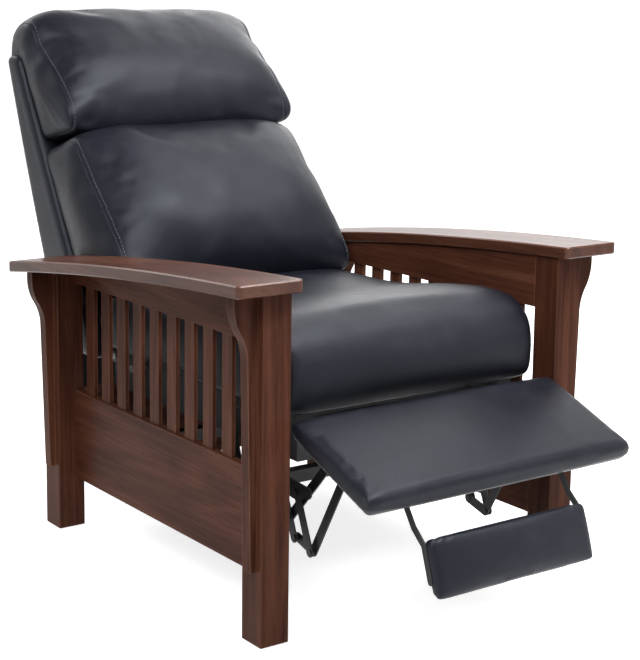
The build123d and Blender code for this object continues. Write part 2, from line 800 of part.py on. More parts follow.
def board_place(along, down):
    """A place counted along the footrest board's upper face and down into it."""
    edge = at(footrest_edge_y, footrest_edge_z)
    return step_from(step_from(edge, 180 + footrest_tilt, along), footrest_tilt - 90, down)


def flipper_place(along, back):
    """A place counted down the flipper's front face and back from it."""
    edge = at(flipper_top_y, flipper_top_z)
    return step_from(step_from(edge, 180 + flipper_tilt, along), flipper_tilt - 90, back)


flipper_pivot = board_place(flipper_pivot_along, flipper_pivot_depth)
running = rivet_radius + pin_clearance
opened = rivet_radius + open_pivot_clearance

# Side plates: a strip along the seat rail, an arm down to the pivots and a horn to the front
plate_top = seat_rail_top - plate_strip_drop
plate_strip_bottom = plate_top - plate_strip_height
arm_rear_y = guide_pivot[0] + plate_margin
arm_front_y = arm_rear_y - plate_arm_width
horn_top = drive_pivot[1] + plate_horn_height
horn_front_y = frame_y + plate_horn_front
for side, sign in sides:
    with BuildPart() as side_plate:
        with BuildSketch(Plane.YZ.offset(sign * plate_plane)) as outline:
            Polygon(
                (frame_y + plate_strip_front, plate_top),
                (frame_y + plate_strip_rear, plate_top),
                (frame_y + plate_strip_rear, plate_strip_bottom),
                (arm_rear_y + plate_arm_width, plate_strip_bottom),
                (arm_rear_y, guide_pivot[1] + plate_horn_height),
                (arm_rear_y, guide_pivot[1] - plate_margin),
                (drive_pivot[0], drive_pivot[1] - plate_margin),
                (horn_front_y, drive_pivot[1]),
                (horn_front_y, horn_top),
                (arm_front_y, horn_top + plate_corner),
                (arm_front_y, plate_strip_bottom),
                (frame_y + plate_strip_front, plate_strip_bottom),
                align=None,
            )
            chamfer(outline.vertices(), plate_corner)
            with Locations(drive_pivot, guide_pivot):
                Circle(rivet_radius, mode=Mode.SUBTRACT)
        extrude(amount=sign * bar_thickness)
    keep(side_plate, f"{side}_side_plate")

with BuildPart() as plate_rivets:
    discs((drive_pivot, guide_pivot), drive_plane, rivet_radius, plate_outer - drive_plane)
    heads((drive_pivot, guide_pivot), plate_outer, rivet_head_radius, rivet_head_height)
keep(plate_rivets, "plate_rivets")

# Links, outermost first: drive and guide links side by side, then stay links, then carry links
with BuildPart() as drive_links:
    flat_bar(drive_plane, bar_thickness, drive_pivot, apex, bar_width,
             ((drive_pivot, running), (apex, rivet_radius)))
keep(drive_links, "drive_links")

with BuildPart() as guide_links:
    flat_bar(drive_plane, bar_thickness, guide_pivot, guide_foot, bar_width,
             ((guide_pivot, running), (guide_foot, opened), (stay_foot, rivet_radius)))
keep(guide_links, "guide_links")

with BuildPart() as stay_links:
    flat_bar(stay_plane, bar_thickness, stay_foot, stay_pivot, bar_width,
             ((stay_foot, running), (stay_pivot, opened)))
keep(stay_links, "stay_links")

with BuildPart() as carry_links:
    for sign in (-1, 1):
        with BuildSketch(Plane.YZ.offset(sign * carry_plane)) as outline:
            for end in (carry_pivot, guide_foot):
                add(bar(apex, end, bar_width))
            for place, radius in ((apex, running), (carry_pivot, running),
                                  (guide_foot, rivet_radius)):
                with Locations(place):
                    Circle(radius, mode=Mode.SUBTRACT)
        extrude(amount=sign * bar_thickness)
keep(carry_links, "carry_links")

# Rivets of the moving joints, each kept with the link that it is fixed in
drive_outer = drive_plane + bar_thickness
stay_outer = stay_plane + bar_thickness
carry_outer = carry_plane + bar_thickness
bracket_outer = bracket_plane + bar_thickness
with BuildPart() as drive_rivets:
    discs((apex,), carry_plane, rivet_radius, drive_outer - carry_plane)
    heads((apex,), carry_plane - rivet_head_height, rivet_head_radius, rivet_head_height)
    heads((apex,), drive_outer, rivet_head_radius, rivet_head_height)
keep(drive_rivets, "drive_link_rivets")

with BuildPart() as carry_rivets:
    discs((guide_foot,), carry_plane, rivet_radius, drive_outer - carry_plane)
    heads((guide_foot,), carry_plane - rivet_head_height, rivet_head_radius, rivet_head_height)
    heads((guide_foot,), drive_outer, rivet_head_radius, rivet_head_height)
keep(carry_rivets, "carry_link_rivets")

with BuildPart() as guide_rivets:
    discs((stay_foot,), stay_plane, rivet_radius, drive_outer - stay_plane)
    heads((stay_foot,), drive_outer, rivet_head_radius, rivet_head_height)
keep(guide_rivets, "guide_link_rivets")

# Footrest: a padded board on two brackets
pad_under = footrest_pad_thickness + footrest_board_thickness
with BuildPart() as footrest_brackets:
    for sign in (-1, 1):
        with BuildSketch(Plane.YZ.offset(sign * bracket_plane)) as outline:
            for place in (flipper_pivot, carry_pivot, stay_pivot):
                with Locations(place):
                    RegularPolygon(bracket_margin, small_round_sides)
            Polygon(
                board_place(bracket_rear, pad_under),
                board_place(bracket_front, pad_under),
                board_place(bracket_front, pad_under + bracket_margin),
                board_place(bracket_rear, pad_under + bracket_margin),
                align=None,
            )
            make_hull()
            for place in (flipper_pivot, carry_pivot, stay_pivot):
                with Locations(place):
                    Circle(rivet_radius, mode=Mode.SUBTRACT)
        extrude(amount=sign * bar_thickness)
keep(footrest_brackets, "footrest_brackets")

with BuildPart() as bracket_rivets:
    discs((carry_pivot,), bracket_plane, rivet_radius, carry_outer - bracket_plane)
    discs((stay_pivot,), bracket_plane, rivet_radius, stay_outer - bracket_plane)
    heads((carry_pivot, stay_pivot), bracket_plane - rivet_head_height, rivet_head_radius,
          rivet_head_height)
    heads((stay_pivot,), stay_outer, rivet_head_radius, bar_gap / 2)
    discs((flipper_pivot,), flipper_half, rivet_radius, bracket_outer - flipper_half)
    heads((flipper_pivot,), bracket_outer, rivet_head_radius, rivet_head_height)
    heads((flipper_pivot,), flipper_half + bar_thickness + bar_gap / 2, rivet_head_radius,
          bracket_plane - flipper_half - bar_thickness - bar_gap / 2)
keep(bracket_rivets, "bracket_rivets")

with BuildPart() as footrest_board:
    with BuildSketch(Plane.YZ.offset(-footrest_half + footrest_board_inset)):
        Polygon(
            board_place(footrest_board_inset, footrest_pad_thickness),
            board_place(footrest_length - footrest_board_inset, footrest_pad_thickness),
            board_place(footrest_length - footrest_board_inset, pad_under),
            board_place(footrest_board_inset, pad_under),
            align=None,
        )
    extrude(amount=2 * (footrest_half - footrest_board_inset))
keep(footrest_board, "footrest_board")


def pad_corners(place, length, thickness, crown_height):
    """Corners of a pad, its upper face first, raised by its share of the crown."""
    def corners(crown):
        rise = (1 - crown) * crown_height
        return [place(0, rise), place(length, rise), place(length, thickness),
                place(0, thickness)]
    return corners


with BuildPart() as footrest_pad:
    soft_loft(footrest_half, pad_end_draw, (footrest_pad_round,) * 2 + (pad_under_round,) * 2,
              pad_corners(board_place, footrest_length, footrest_pad_thickness,
                          footrest_crown),
              belly(-pad_edge_crown, -footrest_crown), (2, 3))
keep(footrest_pad, "footrest_pad")

# Flipper: a smaller padded board on two cranked arms
flipper_under = flipper_pad_thickness + flipper_board_thickness
with BuildPart() as flipper_board:
    with BuildSketch(Plane.YZ.offset(-flipper_half)):
        Polygon(
            flipper_place(flipper_pad_round, flipper_pad_thickness),
            flipper_place(flipper_length - flipper_pad_round, flipper_pad_thickness),
            flipper_place(flipper_length - flipper_pad_round, flipper_under),
            flipper_place(flipper_pad_round, flipper_under),
            align=None,
        )
    extrude(amount=2 * flipper_half)
keep(flipper_board, "flipper_board")

with BuildPart() as flipper_pad:
    soft_loft(flipper_half - seat_gap, flipper_end_draw,
              (flipper_pad_round,) * 2 + (pad_under_round,) * 2,
              pad_corners(flipper_place, flipper_length, flipper_pad_thickness,
                          flipper_crown),
              belly(-pad_edge_crown, -flipper_crown), (2, 3))
keep(flipper_pad, "flipper_pad")

foot_depth = flipper_pad_thickness + flipper_board_thickness / 2
arm_route = [
    flipper_pivot,
    flipper_place(-flipper_kink_up, flipper_kink_back),
    flipper_place(flipper_foot_start, foot_depth),
    flipper_place(flipper_foot_end, foot_depth),
]
with BuildPart() as flipper_arms:
    for sign in (-1, 1):
        with BuildSketch(Plane.YZ.offset(sign * flipper_half)):
            for start, end in zip(arm_route, arm_route[1:]):
                add(bar(start, end, flipper_arm_width))
            with Locations(flipper_pivot):
                Circle(running, mode=Mode.SUBTRACT)
        extrude(amount=sign * bar_thickness)
keep(flipper_arms, "flipper_arms")
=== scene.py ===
"""Mission reclining armchair: stained wood frame, dark leather cushions, black steel footrest linkage."""

import math

import bmesh
import bpy
import numpy as np
from mathutils import Matrix, Vector, noise
from mathutils.bvhtree import BVHTree


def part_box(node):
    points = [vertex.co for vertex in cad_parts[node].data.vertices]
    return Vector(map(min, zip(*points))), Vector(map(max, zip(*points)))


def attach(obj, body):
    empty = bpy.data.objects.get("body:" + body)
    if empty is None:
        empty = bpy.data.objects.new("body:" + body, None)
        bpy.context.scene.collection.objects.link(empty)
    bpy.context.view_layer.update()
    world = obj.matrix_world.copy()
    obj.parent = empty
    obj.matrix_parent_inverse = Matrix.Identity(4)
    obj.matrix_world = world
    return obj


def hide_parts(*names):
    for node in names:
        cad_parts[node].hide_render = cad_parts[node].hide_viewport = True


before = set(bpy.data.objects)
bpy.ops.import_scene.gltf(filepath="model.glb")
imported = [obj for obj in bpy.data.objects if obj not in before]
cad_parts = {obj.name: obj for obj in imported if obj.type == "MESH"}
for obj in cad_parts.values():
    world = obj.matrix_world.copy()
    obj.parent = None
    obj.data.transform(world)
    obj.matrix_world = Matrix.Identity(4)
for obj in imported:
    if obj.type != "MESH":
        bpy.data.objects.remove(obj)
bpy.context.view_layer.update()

# Lengths are in metres
MM = 0.001

# Camera, solved from the posts, arms and panels of the photograph
CAMERA_AZIMUTH = math.radians(-36.078)
CAMERA_ELEVATION = math.radians(9.581)
CAMERA_ROLL = math.radians(0.797)
CAMERA_DISTANCE = 3226.9 * MM
CAMERA_TARGET = Vector((42.4, -38.0, 591.6)) * MM
CAMERA_LENS = 89.7              # focal length and film width, both in millimetres
CAMERA_FILM_WIDTH = 36
CAMERA_SHIFT_Y = -0.12

# The back shell's leaning front face
SHELL_FOOT = Vector((0, 282, 345)) * MM
SHELL_LEAN = math.radians(29.96)                                # how far it leans from upright
SHELL_UP = (0, math.sin(SHELL_LEAN), math.cos(SHELL_LEAN))      # up along the face
SHELL_OUT = (0, -math.cos(SHELL_LEAN), math.sin(SHELL_LEAN))    # out from the face
SHELL_BACKWARD = (0, 1, -0.5)   # roughly where the backs of the two pillows look
DOWNWARD = (0, 0, -1)

# Meshes of the leather pieces
VOXEL = 8 * MM                  # of the seat, the pillows and the shell
PAD_VOXEL = 5 * MM              # of the footrest and the flipper
PILLOW_SOFTENING = 5            # rounds of smoothing after the even mesh is made
CUSHION_SOFTENING = 4
PAD_SOFTENING = 2
SMOOTH_SHARE = 0.5              # how far one round moves a point towards its neighbours

# Stuffing: the pressure inside, how much larger the leather is cut, how far it may move at most,
# and the rounds of smoothing after it has swollen
SIM_FRAMES = 18
LEATHER_CLOTH = {
    "quality": 4, "mass": 0.4, "tension_stiffness": 30, "compression_stiffness": 30,
    "shear_stiffness": 12, "bending_stiffness": 1.2, "tension_damping": 12,
    "compression_damping": 12, "air_damping": 4,
}
LUMBAR_STUFFING = {"pressure": 5.0, "growth_share": 0.004, "most": 20 * MM, "calm_steps": 14}
HEADREST_STUFFING = {"pressure": 5.0, "growth_share": 0.004, "most": 16 * MM, "calm_steps": 14}
SEAT_STUFFING = {"pressure": 2.5, "growth_share": 0.0, "most": 7 * MM, "calm_steps": 24}
FOOTREST_STUFFING = {"pressure": 2.0, "growth_share": 0.0, "most": 1.5 * MM, "calm_steps": 2}
FLIPPER_STUFFING = {"pressure": 2.0, "growth_share": 0.0, "most": 2 * MM, "calm_steps": 2}
SHORTEST_MOVE = 1e-9

# Where leather lies on what carries it and can't swell: the least cosine between the way that it
# looks and the way towards its support
PILLOW_BACK_HELD = 0.75
LUMBAR_FOOT_HELD = 0.85
HEADREST_FOOT_HELD = 0.9
CUSHION_FOOT_HELD = 0.8
LINED_FACE = 0.97               # the same for the part of a pad's underside that is lined

# Shapes of the two back pillows
LUMBAR_SHAPE = {
    "end_reach": 130 * MM,      # how far from its ends the pillow thins
    "low_share": 0.96,          # of its thickness that its ends keep at the foot
    "high_share": 0.70,         # and at the top
    "roll_share": 0.40,         # of its height, from the foot up, that rolls under in front
    "roll_depth": 46 * MM,      # how far it rolls under
    "fullness": 12 * MM,        # how far its middle stands out
    "crown_drop": 16 * MM,      # how far the corners of its top come down
    "stretch": 0,               # how far its end at positive X is drawn out
}
HEADREST_SHAPE = {
    "end_reach": 110 * MM, "low_share": 0.97, "high_share": 0.90, "roll_share": 0.55,
    "roll_depth": 40 * MM, "fullness": 10 * MM, "crown_drop": 46 * MM, "stretch": 14 * MM,
}
CORNER_REACH = 100 * MM         # how much of a pillow's end is rounded off at the top
FRONT_SHARE = 0.3               # of a pillow's depth, beyond which a point is on its front
REAR_SHARE = 0.6                # of its depth, up to which its corners come down the more
FRONT_DROP_SHARE = 0.2          # of the corner's drop that the very front has
END_ROLL_SHARE = 0.6            # by which the ends roll under less than the middle
CORNER_SLOPE = 2.4              # how fast the drop of the corners fades from the top down

# Slow unevenness of the stuffing: spacing, height, and what is added to the seed
PILLOW_SWELLS = ((120 * MM, 3.0 * MM, 0), (60 * MM, 1.1 * MM, 2), (28 * MM, 0.3 * MM, 1))
SEAT_SWELLS = ((170 * MM, 1.8 * MM, 0),)
SEED_STEPS = (3.7, 1.3, 7.1)    # how far the pattern moves from one seed to the next
LUMBAR_SEED = 11
HEADREST_SEED = 23
SEAT_SEED = 5

# Seams at the ends of the pillows. Ripples are a shortest and a longest length, and how many
SEAM_INSET = 9 * MM             # from the end of a pillow to its end seam
SEAM_WIDTH = 7 * MM
SEAM_DEPTH = 2.2 * MM
SEAM_FOOT = 20 * MM             # above a pillow's foot, where its seam's stitches start
SEAM_TURN = 1.6                 # how fast a seam deepens as the leather turns from the end
SEAM_LEAST_SHARE = 0.25         # of the seam's depth on the very end
PUCKER_HEIGHT = 0.5 * MM
PUCKER_REACH = 30 * MM          # how far puckers run from a seam
PUCKER_LEAST_SHARE = 0.7        # of the puckers' height on the very end
PUCKER_RIPPLE = (24 * MM, 70 * MM, 5)
PUCKER_BUNCHES = (130 * MM, 310 * MM, 4)
BUNCH_SEED_STEP = 5
END_TO_END = 3.0                # keeps the puckers of the two ends from being alike
CREASE_RIPPLE = (60 * MM, 200 * MM, 3)
CREASE_FADE = 5                 # a crease fades out over the last fifth at each end
WELT_RADIUS = 1.3 * MM          # the thin ridge where two pieces of leather meet
WELT_PITCH = 3 * MM

# Seat cushion
CROWN_RISE = 10 * MM            # how far the front of the seat stands up
CROWN_PLACE = 130 * MM          # where it does, behind the front
CROWN_REACH = 120 * MM
SEAT_DIP = 9 * MM               # how far the seat sinks behind that
DIP_PLACE = 2.9 * CROWN_PLACE
TOP_SLOPE = 1.6                 # how fast the crown fades from the top of the cushion down
FRONT_HANG = 13 * MM            # how far the front of the seat leather hangs below its pad
HANG_REACH = 14 * MM            # in front of the seat rails, where it hangs all the way
HANG_SHARE = 0.6                # of the cushion's height, up to which it hangs
FRONT_CLEARANCE = 2 * MM        # between the hanging leather and the seat rails
FRONT_BOW = 6 * MM              # how far that front bows out
BOW_REACH = 90 * MM
BOW_FOOT_SHARE = 0.2            # of the bow's half turn that lies below the cushion

# Top of the shell under the rear of the headrest
REST_DEPTH = 6 * MM             # out from the shell's face, up to which the leather rests on it
REST_REACH = 60 * MM            # above the shell's top, where it no longer comes down
REST_DROP = 14 * MM             # how far it comes down at most
REST_SHARE = 0.85               # of the gap that it closes

# Footrest and flipper, whose leather wraps a pad and its board
FOOTREST_UNDER = (0, 0.357, -0.934)     # where the undersides look at rest
FLIPPER_UNDER = (0, 0.947, -0.322)
FOOTREST_OVER = ((6 * MM, 8 * MM), (13 * MM, 6 * MM), (3 * MM, 0))  # past the solids on each axis
FLIPPER_OVER = ((2 * MM, 2 * MM), (2 * MM, 2 * MM), (2 * MM, 0))
TUCK_INSET = 10 * MM            # from a pad's corner to the foot of its tucks
TUCK_RUNS = ((46, 10), (34, 34), (12, 50))      # across and back from there, in millimetres
TUCK_WIDTH = 5 * MM
TUCK_DEPTH = 1.8 * MM
TUCK_WANDER = 1 * MM
TUCK_SEED = 11
PAD_FRONT = 40 * MM             # how much of a pad counts as its front

# Folds on the front of the pillows, in millimetres over the shell's face, each from one place
# (across, up) to another. Their sizes are width, depth and wander
HEADREST_FOLDS = ((-262, 522, -186, 530), (-262, 566, -206, 588), (-262, 486, -210, 474),
                  (262, 500, 210, 516), (262, 470, 222, 482))
HEADREST_FOLD_SIZE = (11 * MM, 1.6 * MM, 2 * MM)
HEADREST_HOLLOWS = ((-130, 556, 40, 548), (30, 604, 190, 596))
HEADREST_HOLLOW_SIZE = (30 * MM, 1.6 * MM, 6 * MM)
LUMBAR_FOLDS = ((-268, 200, -206, 236), (-268, 300, -200, 310), (-266, 380, -216, 352),
                (262, 120, 206, 150))
LUMBAR_FOLD_SIZE = (12 * MM, 1.5 * MM, 2 * MM)

# Lumps and dents there, in millimetres: across, up, radius and height
HEADREST_LUMPS = ((-205, 505, 40, 3), (-170, 610, 60, 3), (120, 520, 70, 3))
LUMBAR_LUMPS = ((-196, 330, 60, 5), (-150, 250, 60, 5), (-90, 180, 70, 6), (-110, 330, 70, -4),
                (20, 300, 110, -3), (90, 150, 80, 4), (226, 96, 44, 5))

# Topstitching
STITCH_LENGTH = 4.4 * MM
STITCH_PITCH = 6.6 * MM
STITCH_THICKNESS = 0.9 * MM
STITCH_OFFSET = 5.5 * MM        # from the seam to its topstitching
STITCH_SHARES = ((0.0, 0.35), (0.12, 0.9), (0.5, 1.0), (0.88, 0.9), (1.0, 0.35))  # length, radius
STITCH_SINK_SHARE = 0.2         # of its radius that the end of a stitch stands above the leather
ROD_SIDES = 6                   # of stitches and welts
LOOP_TURNS = 720                # how finely a line round a pillow is found
SHELL_ROW_INSETS = (20 * MM, 27 * MM)   # behind the shell's front face
SHELL_ROW_FOOT = 30 * MM
SHELL_ROW_TOP = 640 * MM
SHELL_OUTSIDE = 60 * MM         # how far beside the shell the search for its side starts

# Studio
FLOOR_WHITE = 0.80              # how bright the paper looks where no light falls on it
FLOOR_GREY = (0.62, 0.62, 0.62, 1)
FLOOR_REACH = 9.0
FLOOR_BEND = 2.5
BEND_STEPS = 14
WALL_HEIGHT = 8.0
WALL_TURNS = 96
FLOOR_GAP = 0.2 * MM
WORLD_COLOUR = (0.96, 0.98, 1.0, 1)
WORLD_STRENGTH = 0.19
SOFT_BOXES = {                  # place, aim, size and power in watts
    "key_box": ((-2.8, -1.9, 3.1), (0, 0, 0.4), (2.0, 1.6), 120),
    "main_box": ((0.65, -1.35, 3.3), (0, 0.1, 0.6), (2.3, 1.5), 206),
    "front_box": ((-1.15, -1.4, 3.2), (0, 0, 0.7), (1.0, 1.3), 72),
    "low_box": ((2.2, -2.9, 1.7), (0, -0.3, 0.5), (1.5, 1.1), 18),
    "side_box": ((2.6, 1.6, 3.3), (0, -0.5, 0.4), (2.4, 2.0), 52),
    "rear_box": ((2.4, 2.8, 2.0), (0, 0, 0.5), (2.4, 1.8), 30),
    "edge_box": ((-0.8, 3.2, 2.7), (0, 0, 0.5), (1.7, 1.3), 30),
}

# Colours, linear
WHITE = (1, 1, 1, 1)
WOOD_DARK = (0.022, 0.0072, 0.0042, 1)
WOOD_MIDDLE = (0.062, 0.0225, 0.0130, 1)
WOOD_LIGHT = (0.118, 0.048, 0.0275, 1)
# paler wood along the edges: partly rubbed wear, partly a painted highlight where the edges catch the
# light
WOOD_WORN_AND_HIGHLIT = (0.200, 0.088, 0.050, 1)
ARM_PAINTED_SHADE = 0.78                # painted shade: the arms' tops are coloured a shade darker against the strong light on them from above
PLAIN_WOOD_DARK = (0.33, 0.21, 0.11, 1)
PLAIN_WOOD = (0.50, 0.35, 0.20, 1)
PLAIN_WOOD_LIGHT = (0.62, 0.47, 0.29, 1)
LEATHER_DARK = (0.0034, 0.0037, 0.0060, 1)
LEATHER_LIGHT = (0.0068, 0.0074, 0.0112, 1)
LEATHER_WORN = (0.0140, 0.0149, 0.0205, 1)
LEATHER_GLOSS = (0.86, 0.89, 1.0, 1)
THREAD_DARK = (0.07, 0.075, 0.09, 1)
THREAD_COLOUR = (0.110, 0.118, 0.140, 1)
STEEL_COLOUR = (0.0085, 0.0085, 0.0092, 1)
STEEL_LIGHT = (0.009, 0.009, 0.010, 1)
STEEL_WORN = (0.060, 0.060, 0.064, 1)
ZINC_DARK = (0.33, 0.33, 0.32, 1)
ZINC_COLOUR = (0.45, 0.45, 0.44, 1)
BLACK_CLOTH = (0.010, 0.010, 0.011, 1)
WEBBING_COLOUR = (0.035, 0.034, 0.032, 1)
NYLON_DARK = (0.02, 0.02, 0.019, 1)
NYLON_COLOUR = (0.030, 0.028, 0.026, 1)

# Where each colour stands in the tone of its material, from 0 to 1
WOOD_STOPS = ((0.28, WOOD_DARK), (0.52, WOOD_MIDDLE), (0.80, WOOD_LIGHT))
ARM_SHADED_STOPS = tuple((place, (red * ARM_PAINTED_SHADE, green * ARM_PAINTED_SHADE, blue * ARM_PAINTED_SHADE, 1))
                  for place, (red, green, blue, _) in WOOD_STOPS)
PLAIN_STOPS = ((0.25, PLAIN_WOOD_DARK), (0.55, PLAIN_WOOD), (0.85, PLAIN_WOOD_LIGHT))
LEATHER_STOPS = ((0.30, LEATHER_DARK), (0.70, LEATHER_LIGHT))
STEEL_STOPS = ((0.35, STEEL_COLOUR), (0.75, STEEL_LIGHT))

# Timber grain: how often each feature repeats in a metre, along the board and across it
FIGURE_REPEATS = (0.9, 9, 9)
FIBRE_REPEATS = (5, 160, 160)
PORE_REPEATS = (22, 520, 520)
CLOUD_REPEATS = (3, 7, 7)
BOARD_STEPS = (3.1, 7.7, 5.3)   # how far apart in the timber two boards are cut
FIGURE_NOISE = (1.0, 2.0, 0.5, 0.8)     # noise: scale, detail, roughness and distortion
FIBRE_NOISE = (1.0, 3.0, 0.6)
PORE_NOISE = (1.0, 1.0, 0.5)
CLOUD_NOISE = (1.0, 3.0, 0.5)
RING_COUNT = 34.0               # growth rings over the whole range of the figure
RING_CONTRAST = 0.16
RING_SHARE = 0.42               # of each feature in the tone of the wood
FIBRE_SHARE = 0.36
CLOUD_SHARE = 0.34
TONE_DROP = 0.06
PORE_LIMIT = 0.64               # above which the pore pattern is an open pore
FIBRE_RAISE = 0.6
PORE_SINK = 0.7
LONGWAYS = (0, 0, math.radians(-90))    # turns that bring a board's length onto X
UPRIGHT = (0, math.radians(90), 0)
ACROSS = (0, 0, 0)

# Rubbed edges, which on the wood also paint a highlight where the edges catch the light
EDGE_RADIUS = 2.2 * MM
EDGE_SAMPLES = 4
EDGE_GAIN = 5.0
EDGE_NOISE = (55.0, 3.0, 0.6)   # noise: clouds in a metre, detail, roughness and distortion

# Leather grain
PEBBLES = 620.0                 # in a metre
PEBBLE_RANDOMNESS = 0.95
PEBBLE_SLOPE = 3.0
PEBBLE_CAP = 0.6
CREASE_NOISE = (95.0, 4.0, 0.62, 1.6)
CREASE_SLOPE = 9.0
CREASE_RAISE = 0.35
DYE_NOISE = (5.5, 4.0, 0.6)
RUB_NOISE = (14.0, 4.0, 0.65)

# Finishes. A rough range is how much roughness its pattern adds, and to what. A relief is the
# height of the grain and how strongly it shows
WOOD_ROUGH_RANGE = (-0.16, 0.46)
WOOD_SPECULAR = 0.03
WOOD_COAT = 0.02
ARM_COAT = 0.45
COAT_ROUGHNESS = 0.22
BOARD_CONTRAST = 0.12           # between the tones of the palest and the darkest board
PORE_DARKNESS = 0.45
WOOD_RELIEF = (0.12 * MM, 0.5)
LEATHER_ROUGH_RANGE = (0.26, 0.26)
CREASE_ROUGHNESS = -0.03        # what a crease adds
LEATHER_SPECULAR = 0.17
LEATHER_RELIEF = (0.24 * MM, 0.6)
RUB_LIMIT = 0.52                # above which the rub pattern shows as paler leather
RUB_GAIN = 2.2
STEEL_ROUGH_RANGE = (0.22, 0.30)
STEEL_SPECULAR = 0.25
STEEL_SPECKLE_NOISE = (420.0, 3.0, 0.6)
STEEL_PATCH_NOISE = (34.0, 3.0, 0.6)
STEEL_EDGE_WEAR = 0.8
STEEL_RELIEF = (0.05 * MM, 0.5)
PLAIN_CLOUD_NOISE = (4.0, 0.6)  # detail and roughness
PLAIN_TOOTH_NOISE = (2.0, 0.5)
PLAIN_TOOTH_REPEATS = 22        # of the fine tooth in one cloud
PLAIN_ROUGH_SPAN = 0.16         # of the roughness between the darkest and the lightest cloud
PLAIN_RANGE = (0.3, 0.7)        # the tones of the dark and the light colour
PLAIN_RELIEF_STRENGTH = 0.6
CLOTH_ROUGHNESS = 0.85
CLOTH_TOP_TO_SHADED_GAP = 2.4               # painted shade: how much paler the top of a thread is than the shaded gaps between threads
CLOTH_RANGE = (0.2, 0.9)
CLOTH_RELIEF = (0.3 * MM, 0.7)
WEBBING_PITCH = 2.4 * MM
LINING_PITCH = 1.4 * MM
PAPER_ROUGHNESS = 0.95
PAPER_SPECULAR = 0.1


# Shared shader groups
def new_group(name, inputs, outputs):
    """A shader node group with its named inputs and outputs, and its two end nodes."""
    group = bpy.data.node_groups.new(name, "ShaderNodeTree")
    for label, kind, value in inputs:
        socket = group.interface.new_socket(label, in_out="INPUT", socket_type=kind)
        socket.default_value = value
    for label, kind in outputs:
        group.interface.new_socket(label, in_out="OUTPUT", socket_type=kind)
    return group, group.nodes.new("NodeGroupInput"), group.nodes.new("NodeGroupOutput")


def feed(tree, socket, value):
    """Give a socket a value, or link it to the socket that feeds it."""
    if isinstance(value, bpy.types.NodeSocket):
        tree.links.new(value, socket)
    else:
        socket.default_value = value


def math_node(tree, operation, *values):
    """A Math node: each value is a number or the socket that feeds it."""
    node = tree.nodes.new("ShaderNodeMath")
    node.operation = operation
    for socket, value in zip(node.inputs, values):
        feed(tree, socket, value)
    return node.outputs["Value"]


def vector_node(tree, operation, *values):
    """A Vector Math node, fed in the same way. It gives back the node."""
    node = tree.nodes.new("ShaderNodeVectorMath")
    node.operation = operation
    for socket, value in zip(node.inputs, values):
        feed(tree, socket, value)
    return node


def ramp_node(tree, factor, stops):
    """A Color Ramp node with its stops as (place, colour)."""
    node = tree.nodes.new("ShaderNodeValToRGB")
    elements = node.color_ramp.elements
    while len(elements) < len(stops):
        elements.new(0.5)
    for element, (place, colour) in zip(elements, stops):
        element.position = place
        element.color = colour
    tree.links.new(factor, node.inputs["Fac"])
    return node.outputs["Color"]


def noise_node(tree, vector, scale, detail, roughness, distortion=0.0):
    """A Noise Texture node: cloudy values about 0.5, with as many clouds in a metre as its scale."""
    node = tree.nodes.new("ShaderNodeTexNoise")
    tree.links.new(vector, node.inputs["Vector"])
    node.inputs["Scale"].default_value = scale
    node.inputs["Detail"].default_value = detail
    node.inputs["Roughness"].default_value = roughness
    node.inputs["Distortion"].default_value = distortion
    return node.outputs["Fac"]


def mix_colour(tree, factor, first, second):
    """A Mix node for two colours, each a value or a socket."""
    node = tree.nodes.new("ShaderNodeMix")
    node.data_type = "RGBA"
    colours = [socket for socket in node.inputs if socket.type == "RGBA"]
    feed(tree, node.inputs[0], factor)
    feed(tree, colours[0], first)
    feed(tree, colours[1], second)
    return [socket for socket in node.outputs if socket.type == "RGBA"][0]


def wood_grain_group():
    """Stained timber with its grain along X: figure, fibres and pores."""
    group, start, end = new_group(
        "timber_grain",
        [("Place", "NodeSocketVector", (0, 0, 0)), ("Board", "NodeSocketFloat", 0.0)],
        [("Tone", "NodeSocketFloat"), ("Pores", "NodeSocketFloat"), ("Height", "NodeSocketFloat")],
    )
    spread = group.nodes.new("ShaderNodeCombineXYZ")
    for axis, step in zip("XYZ", BOARD_STEPS):
        group.links.new(math_node(group, "MULTIPLY", start.outputs["Board"], step),
                        spread.inputs[axis])
    cut = vector_node(group, "ADD", start.outputs["Place"], spread.outputs[0]).outputs[0]
    figure, fibre, pore, cloud = (
        vector_node(group, "MULTIPLY", cut, repeats).outputs[0]
        for repeats in (FIGURE_REPEATS, FIBRE_REPEATS, PORE_REPEATS, CLOUD_REPEATS)
    )
    figure = noise_node(group, figure, *FIGURE_NOISE)
    fibre = noise_node(group, fibre, *FIBRE_NOISE)
    cloud = noise_node(group, cloud, *CLOUD_NOISE)
    pore = noise_node(group, pore, *PORE_NOISE)
    rings = math_node(group, "SINE", math_node(group, "MULTIPLY", figure, RING_COUNT))
    rings = math_node(group, "MULTIPLY_ADD", rings, RING_CONTRAST, 0.5)
    pores = math_node(group, "GREATER_THAN", pore, PORE_LIMIT)
    tone = math_node(group, "ADD", math_node(group, "MULTIPLY", rings, RING_SHARE),
                     math_node(group, "MULTIPLY", fibre, FIBRE_SHARE))
    tone = math_node(group, "ADD", tone, math_node(group, "MULTIPLY", cloud, CLOUD_SHARE))
    height = math_node(group, "SUBTRACT", math_node(group, "MULTIPLY", fibre, FIBRE_RAISE),
                       math_node(group, "MULTIPLY", pores, PORE_SINK))
    group.links.new(math_node(group, "SUBTRACT", tone, TONE_DROP), end.inputs["Tone"])
    group.links.new(pores, end.inputs["Pores"])
    group.links.new(height, end.inputs["Height"])
    return group


